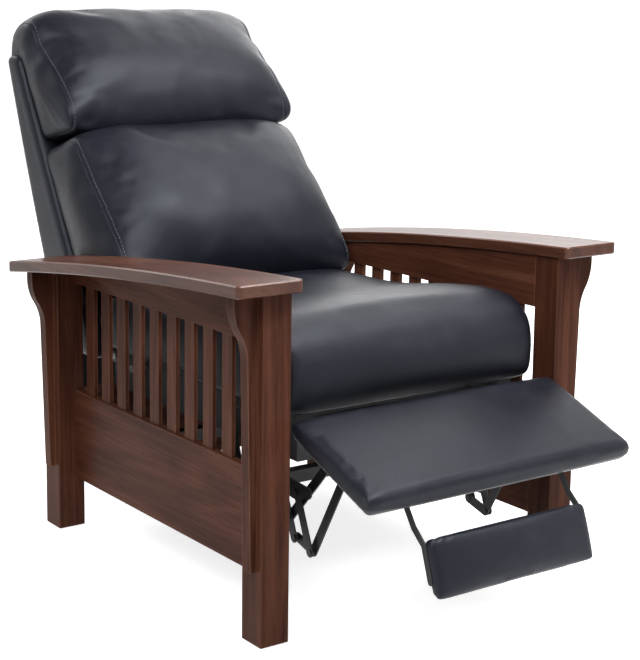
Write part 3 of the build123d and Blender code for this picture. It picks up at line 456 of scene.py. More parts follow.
def worn_and_highlit_edge_group():
    """How near a point is to a rounded or rubbed edge: 0 on a flat face, 1 on an edge. On the wood it
    lays on both wear and a painted highlight.
    """
    group, start, end = new_group(
        "rubbed_and_highlit_edge",
        [("Place", "NodeSocketVector", (0, 0, 0)), ("Amount", "NodeSocketFloat", 1.0)],
        [("Mask", "NodeSocketFloat")],
    )
    bevel = group.nodes.new("ShaderNodeBevel")
    bevel.samples = EDGE_SAMPLES
    bevel.inputs["Radius"].default_value = EDGE_RADIUS
    geometry = group.nodes.new("ShaderNodeNewGeometry")
    dot = vector_node(group, "DOT_PRODUCT", bevel.outputs["Normal"], geometry.outputs["Normal"])
    turned = math_node(group, "SUBTRACT", 1.0, dot.outputs["Value"])
    broken = noise_node(group, start.outputs["Place"], *EDGE_NOISE)
    rubbed = math_node(group, "MULTIPLY", math_node(group, "MULTIPLY", turned, EDGE_GAIN), broken)
    mask = math_node(group, "MULTIPLY", rubbed, start.outputs["Amount"])
    group.links.new(math_node(group, "MINIMUM", mask, 1.0), end.inputs["Mask"])
    return group


def leather_group():
    """Full grain leather: pebbles under two millimetres across, fine creases and cloudy dye."""
    group, start, end = new_group(
        "leather_grain",
        [("Place", "NodeSocketVector", (0, 0, 0))],
        [("Tone", "NodeSocketFloat"), ("Rub", "NodeSocketFloat"),
         ("Height", "NodeSocketFloat"), ("Crease", "NodeSocketFloat")],
    )
    place = start.outputs["Place"]
    pebble = group.nodes.new("ShaderNodeTexVoronoi")
    pebble.feature = "DISTANCE_TO_EDGE"
    pebble.inputs["Scale"].default_value = PEBBLES
    pebble.inputs["Randomness"].default_value = PEBBLE_RANDOMNESS
    group.links.new(place, pebble.inputs["Vector"])
    sloped = math_node(group, "MULTIPLY", pebble.outputs["Distance"], PEBBLE_SLOPE)
    pebbles = math_node(group, "MINIMUM", sloped, PEBBLE_CAP)
    lines = noise_node(group, place, *CREASE_NOISE)
    folded = math_node(group, "ABSOLUTE", math_node(group, "SUBTRACT", lines, 0.5))
    creases = math_node(group, "MINIMUM", math_node(group, "MULTIPLY", folded, CREASE_SLOPE), 1.0)
    height = math_node(group, "ADD", pebbles, math_node(group, "MULTIPLY", creases, CREASE_RAISE))
    group.links.new(noise_node(group, place, *DYE_NOISE), end.inputs["Tone"])
    group.links.new(noise_node(group, place, *RUB_NOISE), end.inputs["Rub"])
    group.links.new(height, end.inputs["Height"])
    group.links.new(creases, end.inputs["Crease"])
    return group


timber_grain = wood_grain_group()
rubbed_and_highlit_edge = worn_and_highlit_edge_group()
leather_grain = leather_group()


# Materials
def new_material(name, **settings):
    """A material with a Principled shader, and its object coordinates."""
    material = bpy.data.materials.new(name)
    material.use_nodes = True
    tree = material.node_tree
    shader = tree.nodes["Principled BSDF"]
    for label, value in settings.items():
        shader.inputs[label.replace("_", " ")].default_value = value
    place = tree.nodes.new("ShaderNodeTexCoord").outputs["Object"]
    return material, tree, shader, place


def place_group(tree, group, place):
    """A shared group in a material, fed with the place on the surface."""
    node = tree.nodes.new("ShaderNodeGroup")
    node.node_tree = group
    tree.links.new(place, node.inputs["Place"])
    return node


def bump(tree, shader, height, distance, strength):
    """Let a height between 0 and 1 stand up by a distance in the light."""
    node = tree.nodes.new("ShaderNodeBump")
    node.inputs["Distance"].default_value = distance
    node.inputs["Strength"].default_value = strength
    tree.links.new(height, node.inputs["Height"])
    tree.links.new(node.outputs["Normal"], shader.inputs["Normal"])


def stained_wood(name, turn, stops, coat=WOOD_COAT, edge_wear_and_highlight=1.0):
    """Stained and lacquered timber. The turn brings the length of the board onto X."""
    material, tree, shader, place = new_material(
        name, Coat_Weight=coat, Coat_Roughness=COAT_ROUGHNESS, Specular_IOR_Level=WOOD_SPECULAR)
    mapping = tree.nodes.new("ShaderNodeMapping")
    mapping.inputs["Rotation"].default_value = turn
    tree.links.new(place, mapping.inputs["Vector"])
    grain = place_group(tree, timber_grain, mapping.outputs["Vector"])
    board = tree.nodes.new("ShaderNodeObjectInfo").outputs["Random"]
    tree.links.new(board, grain.inputs["Board"])
    shade = math_node(tree, "MULTIPLY_ADD", board, BOARD_CONTRAST, -BOARD_CONTRAST / 2)
    colour = ramp_node(tree, math_node(tree, "ADD", grain.outputs["Tone"], shade), stops)
    pores = math_node(tree, "MULTIPLY", grain.outputs["Pores"], PORE_DARKNESS)
    colour = mix_colour(tree, pores, colour, stops[0][1])
    # Paler along the edges: partly rubbed wear, partly a painted highlight where the edges catch the
    # light
    edge = place_group(tree, rubbed_and_highlit_edge, place)
    edge.inputs["Amount"].default_value = edge_wear_and_highlight
    colour = mix_colour(tree, edge.outputs["Mask"], colour, WOOD_WORN_AND_HIGHLIT)
    tree.links.new(colour, shader.inputs["Base Color"])
    rough = math_node(tree, "MULTIPLY_ADD", grain.outputs["Tone"], *WOOD_ROUGH_RANGE)
    tree.links.new(rough, shader.inputs["Roughness"])
    bump(tree, shader, grain.outputs["Height"], *WOOD_RELIEF)
    return material


def dyed_leather(name):
    """Dark dyed leather with a satin finish, paler where it is rubbed."""
    material, tree, shader, place = new_material(
        name, Specular_IOR_Level=LEATHER_SPECULAR, Specular_Tint=LEATHER_GLOSS)
    grain = place_group(tree, leather_grain, place)
    colour = ramp_node(tree, grain.outputs["Tone"], LEATHER_STOPS)
    rubbed = math_node(tree, "SUBTRACT", grain.outputs["Rub"], RUB_LIMIT)
    rubbed = math_node(tree, "MAXIMUM", math_node(tree, "MULTIPLY", rubbed, RUB_GAIN), 0.0)
    colour = mix_colour(tree, rubbed, colour, LEATHER_WORN)
    tree.links.new(colour, shader.inputs["Base Color"])
    rough = math_node(tree, "MULTIPLY_ADD", grain.outputs["Rub"], *LEATHER_ROUGH_RANGE)
    creased = math_node(tree, "MULTIPLY", grain.outputs["Crease"], CREASE_ROUGHNESS)
    rough = math_node(tree, "ADD", rough, creased)
    tree.links.new(rough, shader.inputs["Roughness"])
    bump(tree, shader, grain.outputs["Height"], *LEATHER_RELIEF)
    return material


def enamelled_steel(name):
    """Black enamel on flat steel bar, rubbed a little at the edges."""
    material, tree, shader, place = new_material(name, Specular_IOR_Level=STEEL_SPECULAR)
    speckle = noise_node(tree, place, *STEEL_SPECKLE_NOISE)
    patches = noise_node(tree, place, *STEEL_PATCH_NOISE)
    edge = place_group(tree, rubbed_and_highlit_edge, place)
    edge.inputs["Amount"].default_value = STEEL_EDGE_WEAR
    colour = mix_colour(tree, edge.outputs["Mask"], ramp_node(tree, patches, STEEL_STOPS), STEEL_WORN)
    tree.links.new(colour, shader.inputs["Base Color"])
    rough = math_node(tree, "MULTIPLY_ADD", patches, *STEEL_ROUGH_RANGE)
    tree.links.new(rough, shader.inputs["Roughness"])
    bump(tree, shader, speckle, *STEEL_RELIEF)
    return material


def plain_finish(name, dark, light, roughness, clouds, relief, metallic=0.0):
    """A quiet finish with cloudy tone, so many clouds in a metre, and a fine tooth."""
    material, tree, shader, place = new_material(name, Metallic=metallic)
    tone = noise_node(tree, place, clouds, *PLAIN_CLOUD_NOISE)
    colour = ramp_node(tree, tone, tuple(zip(PLAIN_RANGE, (dark, light))))
    tree.links.new(colour, shader.inputs["Base Color"])
    rough = math_node(tree, "MULTIPLY_ADD", tone, PLAIN_ROUGH_SPAN,
                      roughness - PLAIN_ROUGH_SPAN / 2)
    tree.links.new(rough, shader.inputs["Roughness"])
    tooth = noise_node(tree, place, clouds * PLAIN_TOOTH_REPEATS, *PLAIN_TOOTH_NOISE)
    bump(tree, shader, tooth, relief, PLAIN_RELIEF_STRENGTH)
    return material


def woven_cloth(name, colour, pitch):
    """Plain woven cloth: threads over and under at a pitch, with painted shade in the gaps between them.
    """
    material, tree, shader, place = new_material(name, Roughness=CLOTH_ROUGHNESS)
    split = tree.nodes.new("ShaderNodeSeparateXYZ")
    tree.links.new(place, split.inputs[0])
    turns = 2 * math.pi / pitch
    warp = math_node(tree, "SINE", math_node(tree, "MULTIPLY", split.outputs["X"], turns))
    along = math_node(tree, "ADD", split.outputs["Y"], split.outputs["Z"])
    weft = math_node(tree, "SINE", math_node(tree, "MULTIPLY", along, turns))
    weave = math_node(tree, "MULTIPLY_ADD", math_node(tree, "MULTIPLY", warp, weft), 0.5, 0.5)
    # Painted light and shade: the tops of the threads are paler and the gaps darker
    pale = tuple(channel * CLOTH_TOP_TO_SHADED_GAP for channel in colour[:3]) + (1,)
    shaded = ramp_node(tree, weave, tuple(zip(CLOTH_RANGE, (colour, pale))))
    tree.links.new(shaded, shader.inputs["Base Color"])
    bump(tree, shader, weave, *CLOTH_RELIEF)
    return material


wood_long = stained_wood("stained_wood_long", LONGWAYS, WOOD_STOPS)
wood_upright = stained_wood("stained_wood_upright", UPRIGHT, WOOD_STOPS)
wood_across = stained_wood("stained_wood_across", ACROSS, WOOD_STOPS)
# The arms are a darker copy of the same wood: painted shade against the light falling on their tops
shaded_arm_wood = stained_wood("stained_wood_arms_painted_shade", LONGWAYS, ARM_SHADED_STOPS, coat=ARM_COAT)
bare_wood = stained_wood("bare_seat_wood", LONGWAYS, PLAIN_STOPS, coat=0.0, edge_wear_and_highlight=0.0)
leather = dyed_leather("navy_leather")
steel = enamelled_steel("black_enamel")
zinc = plain_finish("zinc_plate", ZINC_DARK, ZINC_COLOUR, roughness=0.34, clouds=60.0,
                    relief=0.03 * MM, metallic=1.0)
nylon = plain_finish("glide_nylon", NYLON_DARK, NYLON_COLOUR, roughness=0.6, clouds=40.0,
                     relief=0.05 * MM)
thread = plain_finish("upholstery_thread", THREAD_DARK, THREAD_COLOUR, roughness=0.55,
                      clouds=300.0, relief=0.1 * MM)
webbing_cloth = woven_cloth("webbing_cloth", WEBBING_COLOUR, WEBBING_PITCH)
lining_cloth = woven_cloth("dust_cover_cloth", BLACK_CLOTH, LINING_PITCH)


def finish_nodes(material, *names):
    """Give CAD nodes their material."""
    for name in names:
        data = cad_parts[name].data
        data.materials.clear()
        data.materials.append(material)


for side in ("left", "right"):
    finish_nodes(wood_upright, f"{side}_front_post", f"{side}_rear_post", f"{side}_slats",
                 f"{side}_front_corbel", f"{side}_rear_corbel")
    finish_nodes(shaded_arm_wood, f"{side}_arm")
    finish_nodes(wood_long, f"{side}_apron", f"{side}_side_panel")
    finish_nodes(lining_cloth, f"{side}_seat_rail")
    finish_nodes(steel, f"{side}_base_rail", f"{side}_side_plate")
finish_nodes(wood_across, "rear_rail")
finish_nodes(bare_wood, "rear_seat_rail", "back_frame")
finish_nodes(steel, "front_cross_tube", "rear_cross_tube", "front_swing_links", "rear_swing_links",
             "plate_rivets", "back_hinge_arms", "drive_links", "guide_links", "stay_links",
             "carry_links", "drive_link_rivets", "guide_link_rivets", "carry_link_rivets",
             "bracket_rivets", "footrest_brackets", "flipper_arms")
finish_nodes(zinc, "base_screws", "base_studs", "seat_studs", "back_hinge_pins")
finish_nodes(nylon, "glides")
finish_nodes(webbing_cloth, "seat_webbing")
finish_nodes(lining_cloth, "front_seat_rail", "back_skirt", "footrest_board", "flipper_board")


# Meshes
def new_piece(mesh, name, material=None):
    """A piece in the scene made from a bmesh. With a material it is shaded smooth."""
    data = bpy.data.meshes.new(name)
    mesh.to_mesh(data)
    mesh.free()
    if material is not None:
        data.materials.append(material)
        data.shade_smooth()
    piece = bpy.data.objects.new(name, data)
    bpy.context.scene.collection.objects.link(piece)
    return piece


def ring(mesh, middle, first, second, radius, sides):
    """Vertices round a circle in the plane of two directions."""
    turns = [2 * math.pi * turn / sides for turn in range(sides)]
    return [mesh.verts.new(middle + (first * math.cos(turn) + second * math.sin(turn)) * radius)
            for turn in turns]


def bridge(mesh, start, end):
    """Faces between two rings of as many vertices."""
    for turn in range(len(start)):
        after = (turn + 1) % len(start)
        mesh.faces.new((start[turn], start[after], end[after], end[turn]))


def bake_modifiers(piece):
    """Replace a piece's mesh by what its modifiers make of it."""
    depsgraph = bpy.context.evaluated_depsgraph_get()
    depsgraph.update()
    shaped = bpy.data.meshes.new_from_object(piece.evaluated_get(depsgraph))
    piece.modifiers.clear()
    old = piece.data
    piece.data = shaped
    bpy.data.meshes.remove(old)


def vertex_values(piece, label):
    """The places or the normals of a piece's vertices, one to a row."""
    flat = np.empty(len(piece.data.vertices) * 3)
    piece.data.vertices.foreach_get(label, flat)
    return flat.reshape(-1, 3)


def points_of(piece):
    """Where a piece's vertices are."""
    return vertex_values(piece, "co")


def normals_of(piece):
    """Which way a piece's vertices look."""
    return vertex_values(piece, "normal")


def set_points(piece, points):
    """Move a piece's vertices to new places."""
    piece.data.vertices.foreach_set("co", points.ravel())
    piece.data.update()


def search_tree(piece):
    """A tree in which rays find the surface of a piece."""
    return BVHTree.FromObject(piece, bpy.context.evaluated_depsgraph_get())


def smooth(piece, name, rounds):
    """Calm a piece's mesh with rounds of smoothing."""
    modifier = piece.modifiers.new(name, "SMOOTH")
    modifier.factor = SMOOTH_SHARE
    modifier.iterations = rounds
    bake_modifiers(piece)


def remeshed_copy(nodes, name, voxel, softening):
    """An even quad mesh round one or more CAD solids, with its edges softened."""
    joined = bmesh.new()
    for node in nodes:
        joined.from_mesh(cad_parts[node].data)
    piece = new_piece(joined, name)
    remesh = piece.modifiers.new("even_mesh", "REMESH")
    remesh.mode = "VOXEL"
    remesh.voxel_size = voxel
    smooth(piece, "soften", softening)
    return piece


def subdivide(piece):
    """Make a piece's mesh twice as fine, and rounder."""
    modifier = piece.modifiers.new("smooth_leather", "SUBSURF")
    modifier.levels = 1
    modifier.render_levels = 1
    bake_modifiers(piece)


# Stuffed leather
def held_where(piece, direction, limit):
    """1 for each point of a piece that looks in a direction, and 0 elsewhere."""
    return np.where(normals_of(piece) @ np.array(direction) > limit, 1.0, 0.0)


def puff(piece, held, pressure, growth_share, most, calm_steps):
    """Swell a piece like stuffed leather. The held points stay where they are."""
    start = points_of(piece)
    group = piece.vertex_groups.new(name="held")
    for index in np.nonzero(held > 0)[0]:
        group.add([int(index)], float(held[index]), "REPLACE")
    cloth = piece.modifiers.new("stuffing", "CLOTH")
    for label, value in LEATHER_CLOTH.items():
        setattr(cloth.settings, label, value)
    cloth.settings.use_pressure = True
    cloth.settings.uniform_pressure_force = pressure
    cloth.settings.shrink_min = -growth_share
    cloth.settings.effector_weights.gravity = 0
    cloth.settings.vertex_group_mass = "held"
    cloth.point_cache.frame_end = SIM_FRAMES
    scene = bpy.context.scene
    for step in range(1, SIM_FRAMES + 1):
        scene.frame_set(step)
    bake_modifiers(piece)
    scene.frame_set(1)
    moved = points_of(piece) - start
    distance = np.linalg.norm(moved, axis=1, keepdims=True)
    set_points(piece, start + moved * np.minimum(1, most / np.maximum(distance, SHORTEST_MOVE)))
    smooth(piece, "calm", calm_steps)


def waves(along, shortest, longest, count, seed):
    """A repeatable ripple along a line, between two wavelengths, about -1 to 1."""
    rng = np.random.default_rng(seed)
    total = np.zeros_like(along)
    for share in np.linspace(0, 1, count):
        length = shortest + (longest - shortest) * share
        total += np.sin(2 * math.pi * along / length + rng.uniform(0, 2 * math.pi))
    return total / math.sqrt(count)


def round_the_end(points):
    """Distance round a piece's end, measured as an angle about its middle times its radius."""
    middle = (points.min(0) + points.max(0)) / 2
    angle = np.arctan2(points[:, 2] - middle[2], points[:, 1] - middle[1])
    radius = (points.max(0) - points.min(0))[1:].mean() / 2
    return angle * radius


def undulate(piece, swells, seed):
    """Give leather the slow, soft unevenness of its stuffing."""
    for spacing, height, seed_step in swells:
        points, normals = points_of(piece), normals_of(piece)
        away = Vector([(seed + seed_step) * step for step in SEED_STEPS])
        lift = np.array([noise.noise(Vector(point) / spacing + away) for point in points])
        set_points(piece, points + normals * (lift * height)[:, None])


def crease(piece, start, end, width, depth, wander, seed):
    """Press a soft crease along a line through space, fading at its ends."""
    points, normals = points_of(piece), normals_of(piece)
    start, end = np.array(start), np.array(end)
    span = end - start
    share = np.clip((points - start) @ span / (span @ span), 0, 1)
    nearest = start + share[:, None] * span
    nearest[:, 2] += wander * waves(share * np.linalg.norm(span), *CREASE_RIPPLE, seed)
    distance = np.linalg.norm(points - nearest, axis=1)
    fade = np.clip(np.minimum(share, 1 - share) * CREASE_FADE, 0, 1)
    shift = -depth * fade * np.exp(-(distance / width) ** 2)
    set_points(piece, points + normals * shift[:, None])


def swell(piece, centre, radius, height):
    """Raise or sink a soft round patch of a piece."""
    points, normals = points_of(piece), normals_of(piece)
    away = (points - np.array(centre)) / radius
    shift = height * np.exp(-(away ** 2).sum(1))
    set_points(piece, points + normals * shift[:, None])


def finish_leather(piece, nodes, body):
    """Give a leather piece its material, hang it on its body and hide the CAD solids that it stands for.
    """
    piece.data.materials.clear()
    piece.data.materials.append(leather)
    piece.data.shade_smooth()
    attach(piece, body)
    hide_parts(*nodes)


# Back pillows
def on_the_shell(points):
    """Height up the shell's leaning front face and depth out from it, for each point."""
    away = points - np.array(SHELL_FOOT)
    return away @ np.array(SHELL_UP), away @ np.array(SHELL_OUT)


def shape_pillow(piece, half, end_reach, low_share, high_share, roll_share, roll_depth, fullness,
                 crown_drop, stretch):
    """Thin the ends of a back pillow towards the shell and roll its lower front under."""
    points = points_of(piece)
    height, depth = on_the_shell(points)
    front = depth > depth.max() * FRONT_SHARE
    low, high = height[front].min(), height[front].max()
    share = np.clip((height - low) / (high - low), 0, 1)
    depth_share = np.clip(depth / depth.max(), 0, 1)
    near_end = np.clip((np.abs(points[:, 0]) - (half - end_reach)) / end_reach, 0, 1) ** 2
    kept = low_share + (high_share - low_share) * share
    full = np.sin(math.pi * share) * (1 - near_end)
    under = np.clip((roll_share - share) / roll_share, 0, 1)
    roll = roll_depth * under ** 2 * (1 - END_ROLL_SHARE * near_end)
    shift = depth * (kept - 1) * near_end + depth_share ** 2 * (full * fullness - roll)
    points = points + shift[:, None] * np.array(SHELL_OUT)
    corner = np.clip((np.abs(points[:, 0]) - (half - CORNER_REACH)) / CORNER_REACH, 0, 1) ** 2
    near_top = np.clip(1 - (1 - share) * CORNER_SLOPE, 0, 1)
    rear = np.clip(1 - depth_share / REAR_SHARE, 0, 1)
    drop = FRONT_DROP_SHARE + (1 - FRONT_DROP_SHARE) * rear
    points[:, 2] -= crown_drop * corner * near_top * drop
    points[:, 0] += stretch * np.clip(points[:, 0] / half, 0, 1) ** 3
    set_points(piece, points)


def sew_end_seams(piece, half, seed):
    """Press a seam round both ends and gather the leather beside it."""
    points, normals = points_of(piece), normals_of(piece)
    side_on = (1 - np.abs(normals[:, 0])) * SEAM_TURN
    distance = np.abs(np.abs(points[:, 0]) - half)
    groove = SEAM_DEPTH * np.exp(-(distance / SEAM_WIDTH) ** 2)
    along = round_the_end(points) + END_TO_END * np.sign(points[:, 0])
    bunched = np.clip(waves(along, *PUCKER_BUNCHES, seed + BUNCH_SEED_STEP), 0, 2)
    gather = PUCKER_HEIGHT * bunched * waves(along, *PUCKER_RIPPLE, seed)
    gather *= np.exp(-distance / PUCKER_REACH)
    shift = (gather * np.clip(side_on, PUCKER_LEAST_SHARE, 1)
             - groove * np.clip(side_on, SEAM_LEAST_SHARE, 1))
    set_points(piece, points + normals * shift[:, None])


def back_pillow(node, name, shape, stuffing, foot_held, seed):
    """A stuffed back pillow with a seam and gathers at each end."""
    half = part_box(node)[1].x
    piece = remeshed_copy((node,), name, VOXEL, PILLOW_SOFTENING)
    shape_pillow(piece, half, **shape)
    backward = np.array(SHELL_BACKWARD) / np.linalg.norm(SHELL_BACKWARD)
    held = np.maximum(held_where(piece, backward, PILLOW_BACK_HELD),
                      held_where(piece, DOWNWARD, foot_held))
    puff(piece, held, **stuffing)
    subdivide(piece)
    undulate(piece, PILLOW_SWELLS, seed)
    sew_end_seams(piece, half - SEAM_INSET, seed)
    finish_leather(piece, (node,), "back")
    return piece


def rest_on_shell(piece):
    """Let the rear of the headrest come down onto the top of the shell, also at its ends."""
    points = points_of(piece)
    _, depth = on_the_shell(points)
    over = points[:, 2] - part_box("back_shell")[1].z
    fall = np.clip(1 - over / REST_REACH, 0, 1) * np.clip(over, 0, REST_DROP)
    points[:, 2] -= np.where(depth < REST_DEPTH, fall, 0) * REST_SHARE
    set_points(piece, points)


def on_front(tree, across, up):
    """The place on the front of a back pillow, this far across and up the shell."""
    out = Vector(SHELL_OUT)
    start = SHELL_FOOT + Vector((across, 0, 0)) + Vector(SHELL_UP) * up + out
    hit, _, _, _ = tree.ray_cast(start, -out)
    return hit


def crease_front(piece, lines, size):
    """Press creases into the front of a back pillow: each line is (across, up, across, up)."""
    tree = search_tree(piece)
    for index, (across, up, to_across, to_up) in enumerate(lines):
        start = on_front(tree, across * MM, up * MM)
        end = on_front(tree, to_across * MM, to_up * MM)
        if start is not None and end is not None:
            crease(piece, start, end, *size, seed=index)


def swell_front(piece, lumps):
    """Raise or sink patches of a pillow's front: (across, up, radius, height) in millimetres."""
    tree = search_tree(piece)
    for across, up, radius, height in lumps:
        centre = on_front(tree, across * MM, up * MM)
        if centre is not None:
            swell(piece, centre, radius * MM, height * MM)


# Seat cushion, shell and pads
def shape_seat(piece, low, high, rail_front):
    """Raise the crown of the seat's front and let its leather hang before the rails."""
    points = points_of(piece)
    below_top = 1 - (points[:, 2] - low.z) / (high.z - low.z)
    top = np.clip(1 - below_top * TOP_SLOPE, 0, 1)
    behind = points[:, 1] - low.y
    points[:, 2] += CROWN_RISE * top * np.exp(-((behind - CROWN_PLACE) / CROWN_REACH) ** 2)
    points[:, 2] -= SEAT_DIP * top * np.exp(-((behind - DIP_PLACE) / CROWN_REACH) ** 2)
    share = np.clip((points[:, 2] - low.z) / (high.z - low.z), 0, 1)
    overhang = np.clip((rail_front - FRONT_CLEARANCE - points[:, 1]) / HANG_REACH, 0, 1)
    points[:, 2] -= FRONT_HANG * overhang * np.clip(1 - share / HANG_SHARE, 0, 1)
    near = np.clip(1 - behind / BOW_REACH, 0, 1)
    turn = np.clip(BOW_FOOT_SHARE + share * (1 - BOW_FOOT_SHARE), 0, 1)
    points[:, 1] -= near * np.sin(math.pi * turn) * FRONT_BOW
    set_points(piece, points)


def seat_cushion():
    """The seat, with its crown at the front and its leather hanging before the rails."""
    piece = remeshed_copy(("seat_cushion",), "seat_leather", VOXEL, CUSHION_SOFTENING)
    puff(piece, held_where(piece, DOWNWARD, CUSHION_FOOT_HELD), **SEAT_STUFFING)
    subdivide(piece)
    shape_seat(piece, *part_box("seat_cushion"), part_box("left_seat_rail")[0].y)
    undulate(piece, SEAT_SWELLS, SEAT_SEED)
    finish_leather(piece, ("seat_cushion",), "seat")


def padded_shell():
    """The padded outer shell of the back."""
    piece = remeshed_copy(("back_shell",), "shell_leather", VOXEL, CUSHION_SOFTENING)
    subdivide(piece)
    finish_leather(piece, ("back_shell",), "back")
    return piece


def fill_box(piece, nodes, normal, over):
    """Bring a remeshed slab back out to the size of its CAD solids, and this much over."""
    across = np.array((1, 0, 0))
    normal = np.array(normal) / np.linalg.norm(normal)
    axes = np.stack((across, np.cross(normal, across), normal))
    solid = np.concatenate([points_of(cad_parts[node]) for node in nodes]) @ axes.T
    points = points_of(piece) @ axes.T
    for axis, (over_low, over_high) in enumerate(over):
        low, high = solid[:, axis].min() - over_low, solid[:, axis].max() + over_high
        start, end = points[:, axis].min(), points[:, axis].max()
        points[:, axis] = low + (points[:, axis] - start) * (high - low) / (end - start)
    set_points(piece, points @ axes)


def tuck_corners(piece):
    """Press the small tucks of folded leather into the two front corners of a slab."""
    points = points_of(piece)
    low, high = points.min(0), points.max(0)
    front = points[:, 1] < low[1] + PAD_FRONT
    front_y, front_top = points[front, 1].min(), points[front, 2].max()
    for sign in (-1, 1):
        corner = Vector((sign * high[0] - sign * TUCK_INSET, front_y + TUCK_INSET / 2, front_top))
        for index, (across, back) in enumerate(TUCK_RUNS):
            end = corner + Vector((-sign * across, back, 0)) * MM
            crease(piece, corner, end, TUCK_WIDTH, TUCK_DEPTH, TUCK_WANDER, seed=index + TUCK_SEED)


def line_underside(piece, direction):
    """Turn the faces that look in a direction into the black lining under a board."""
    piece.data.materials.append(lining_cloth)
    direction = Vector(direction).normalized()
    for face in piece.data.polygons:
        if face.normal.dot(direction) > LINED_FACE:
            face.material_index = 1


def wrapped_pad(label, under, over, stuffing):
    """Leather wrapped round a pad and its board, tucked at the corners and lined underneath."""
    nodes = (f"{label}_pad", f"{label}_board")
    piece = remeshed_copy(nodes, f"{label}_leather", PAD_VOXEL, PAD_SOFTENING)
    puff(piece, held_where(piece, under, CUSHION_FOOT_HELD), **stuffing)
    subdivide(piece)
    fill_box(piece, nodes, under, over)
    tuck_corners(piece)
    finish_leather(piece, nodes, label)
    line_underside(piece, under)


# Seam ridges and topstitching
def thread_mesh(stitches, name):
    """Topstitching: one small rounded bar for each stitch, given as (start, end, out)."""
    mesh = bmesh.new()
    radius = STITCH_THICKNESS / 2
    for start, end, out in stitches:
        side = (end - start).normalized().cross(out).normalized()
        rings = []
        for share, radius_share in STITCH_SHARES:
            rise = STITCH_SINK_SHARE + (1 - STITCH_SINK_SHARE) * math.sin(share * math.pi)
            middle = start.lerp(end, share) + out * radius * rise
            rings.append(ring(mesh, middle, side, out, radius * radius_share, ROD_SIDES))
        for first, second in zip(rings, rings[1:]):
            bridge(mesh, first, second)
        mesh.faces.new(rings[0][::-1])
        mesh.faces.new(rings[-1])
    return new_piece(mesh, name, thread)


def welt_mesh(loops, name):
    """Thin rounded ridges of leather along closed lines of points."""
    mesh = bmesh.new()
    for loop in loops:
        rings = []
        for index, (place, out) in enumerate(loop):
            along = loop[(index + 1) % len(loop)][0] - loop[index - 1][0]
            side = along.cross(out).normalized()
            rings.append(ring(mesh, place, side, out, WELT_RADIUS, ROD_SIDES))
        for first, second in zip(rings, rings[1:] + rings[:1]):
            bridge(mesh, first, second)
    return new_piece(mesh, name, leather)


def loop_on(piece, x):
    """Points and outward normals round a piece, where a plane across the chair meets it."""
    tree = search_tree(piece)
    points = points_of(piece)
    near = points[np.abs(points[:, 0] - x) < 2 * VOXEL]
    middle = Vector((x, *((near.min(0) + near.max(0)) / 2)[1:]))
    found = []
    for turn in range(LOOP_TURNS):
        angle = math.radians(360 * turn / LOOP_TURNS)
        outward = Vector((0, math.cos(angle), math.sin(angle)))
        hit, normal, _, _ = tree.ray_cast(middle + outward, -outward)
        if hit is not None:
            found.append((hit, normal))
    return found


def evened(loop, pitch):
    """The same closed loop with its points at about one pitch."""
    kept = [loop[0]]
    for place, out in loop[1:]:
        if (place - kept[-1][0]).length >= pitch:
            kept.append((place, out))
    return kept


def stitch_loop(piece, x, lowest):
    """Stitches round a piece in one plane, above a height."""
    loop = loop_on(piece, x)
    stitches = []
    travelled = 0.0
    for (first, normal), (second, _) in zip(loop, loop[1:] + loop[:1]):
        step = second - first
        travelled += step.length
        if travelled >= STITCH_PITCH and step.length < STITCH_PITCH:
            if first.z > lowest:
                stitches.append((first, first + step.normalized() * STITCH_LENGTH, normal))
            travelled = 0.0
    return stitches


def stitch_row(piece, start, end, sign):
    """Stitches along a straight line on the side of a piece, found from outside it."""
    tree = search_tree(piece)
    count = int((end - start).length / STITCH_PITCH)
    step = (end - start) / count
    outside = Vector((sign * SHELL_OUTSIDE, 0, 0))
    row = []
    for index in range(count):
        place = start + step * index + outside
        hit, normal, _, _ = tree.ray_cast(place, -outside)
        after, _, _, _ = tree.ray_cast(place + step * (STITCH_LENGTH / STITCH_PITCH), -outside)
        if hit is not None and after is not None:
            row.append((hit, after, normal))
    return row


def sew_on(trim):
    """Stitches and welts move with the back."""
    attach(trim, "back")


def trim_pillow(piece, node, label):
    """A welt on each end seam of a pillow, and a row of stitches beside it."""
    low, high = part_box(node)
    stitches, loops = [], []
    for sign in (-1, 1):
        seam = sign * (high.x - SEAM_INSET)
        loops.append(evened(loop_on(piece, seam), WELT_PITCH))
        stitches += stitch_loop(piece, seam - sign * STITCH_OFFSET, low.z + SEAM_FOOT)
    sew_on(thread_mesh(stitches, f"{label}_stitching"))
    sew_on(welt_mesh(loops, f"{label}_welts"))


def stitch_shell(shell):
    """Two rows of topstitching up each side of the shell."""
    up, out = Vector(SHELL_UP), Vector(SHELL_OUT)
    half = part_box("back_shell")[1].x
    stitches = []
    for sign in (-1, 1):
        for inset in SHELL_ROW_INSETS:
            foot = SHELL_FOOT - out * inset + Vector((sign * half, 0, 0))
            stitches += stitch_row(shell, foot + up * SHELL_ROW_FOOT, foot + up * SHELL_ROW_TOP,
                                   sign)
    sew_on(thread_mesh(stitches, "shell_stitching"))


# Floor, backdrop, lights and camera
def paper():
    """Pale studio paper, white where it is seen or reflected."""
    material, tree, shader, _ = new_material(
        "studio_paper", Base_Color=FLOOR_GREY, Emission_Color=WHITE, Roughness=PAPER_ROUGHNESS,
        Specular_IOR_Level=PAPER_SPECULAR)
    path = tree.nodes.new("ShaderNodeLightPath")
    seen = math_node(tree, "MAXIMUM", path.outputs["Is Camera Ray"], path.outputs["Is Glossy Ray"])
    seen = math_node(tree, "MAXIMUM", seen, path.outputs["Is Transmission Ray"])
    tree.links.new(math_node(tree, "MULTIPLY", seen, FLOOR_WHITE), shader.inputs["Emission Strength"])
    return material


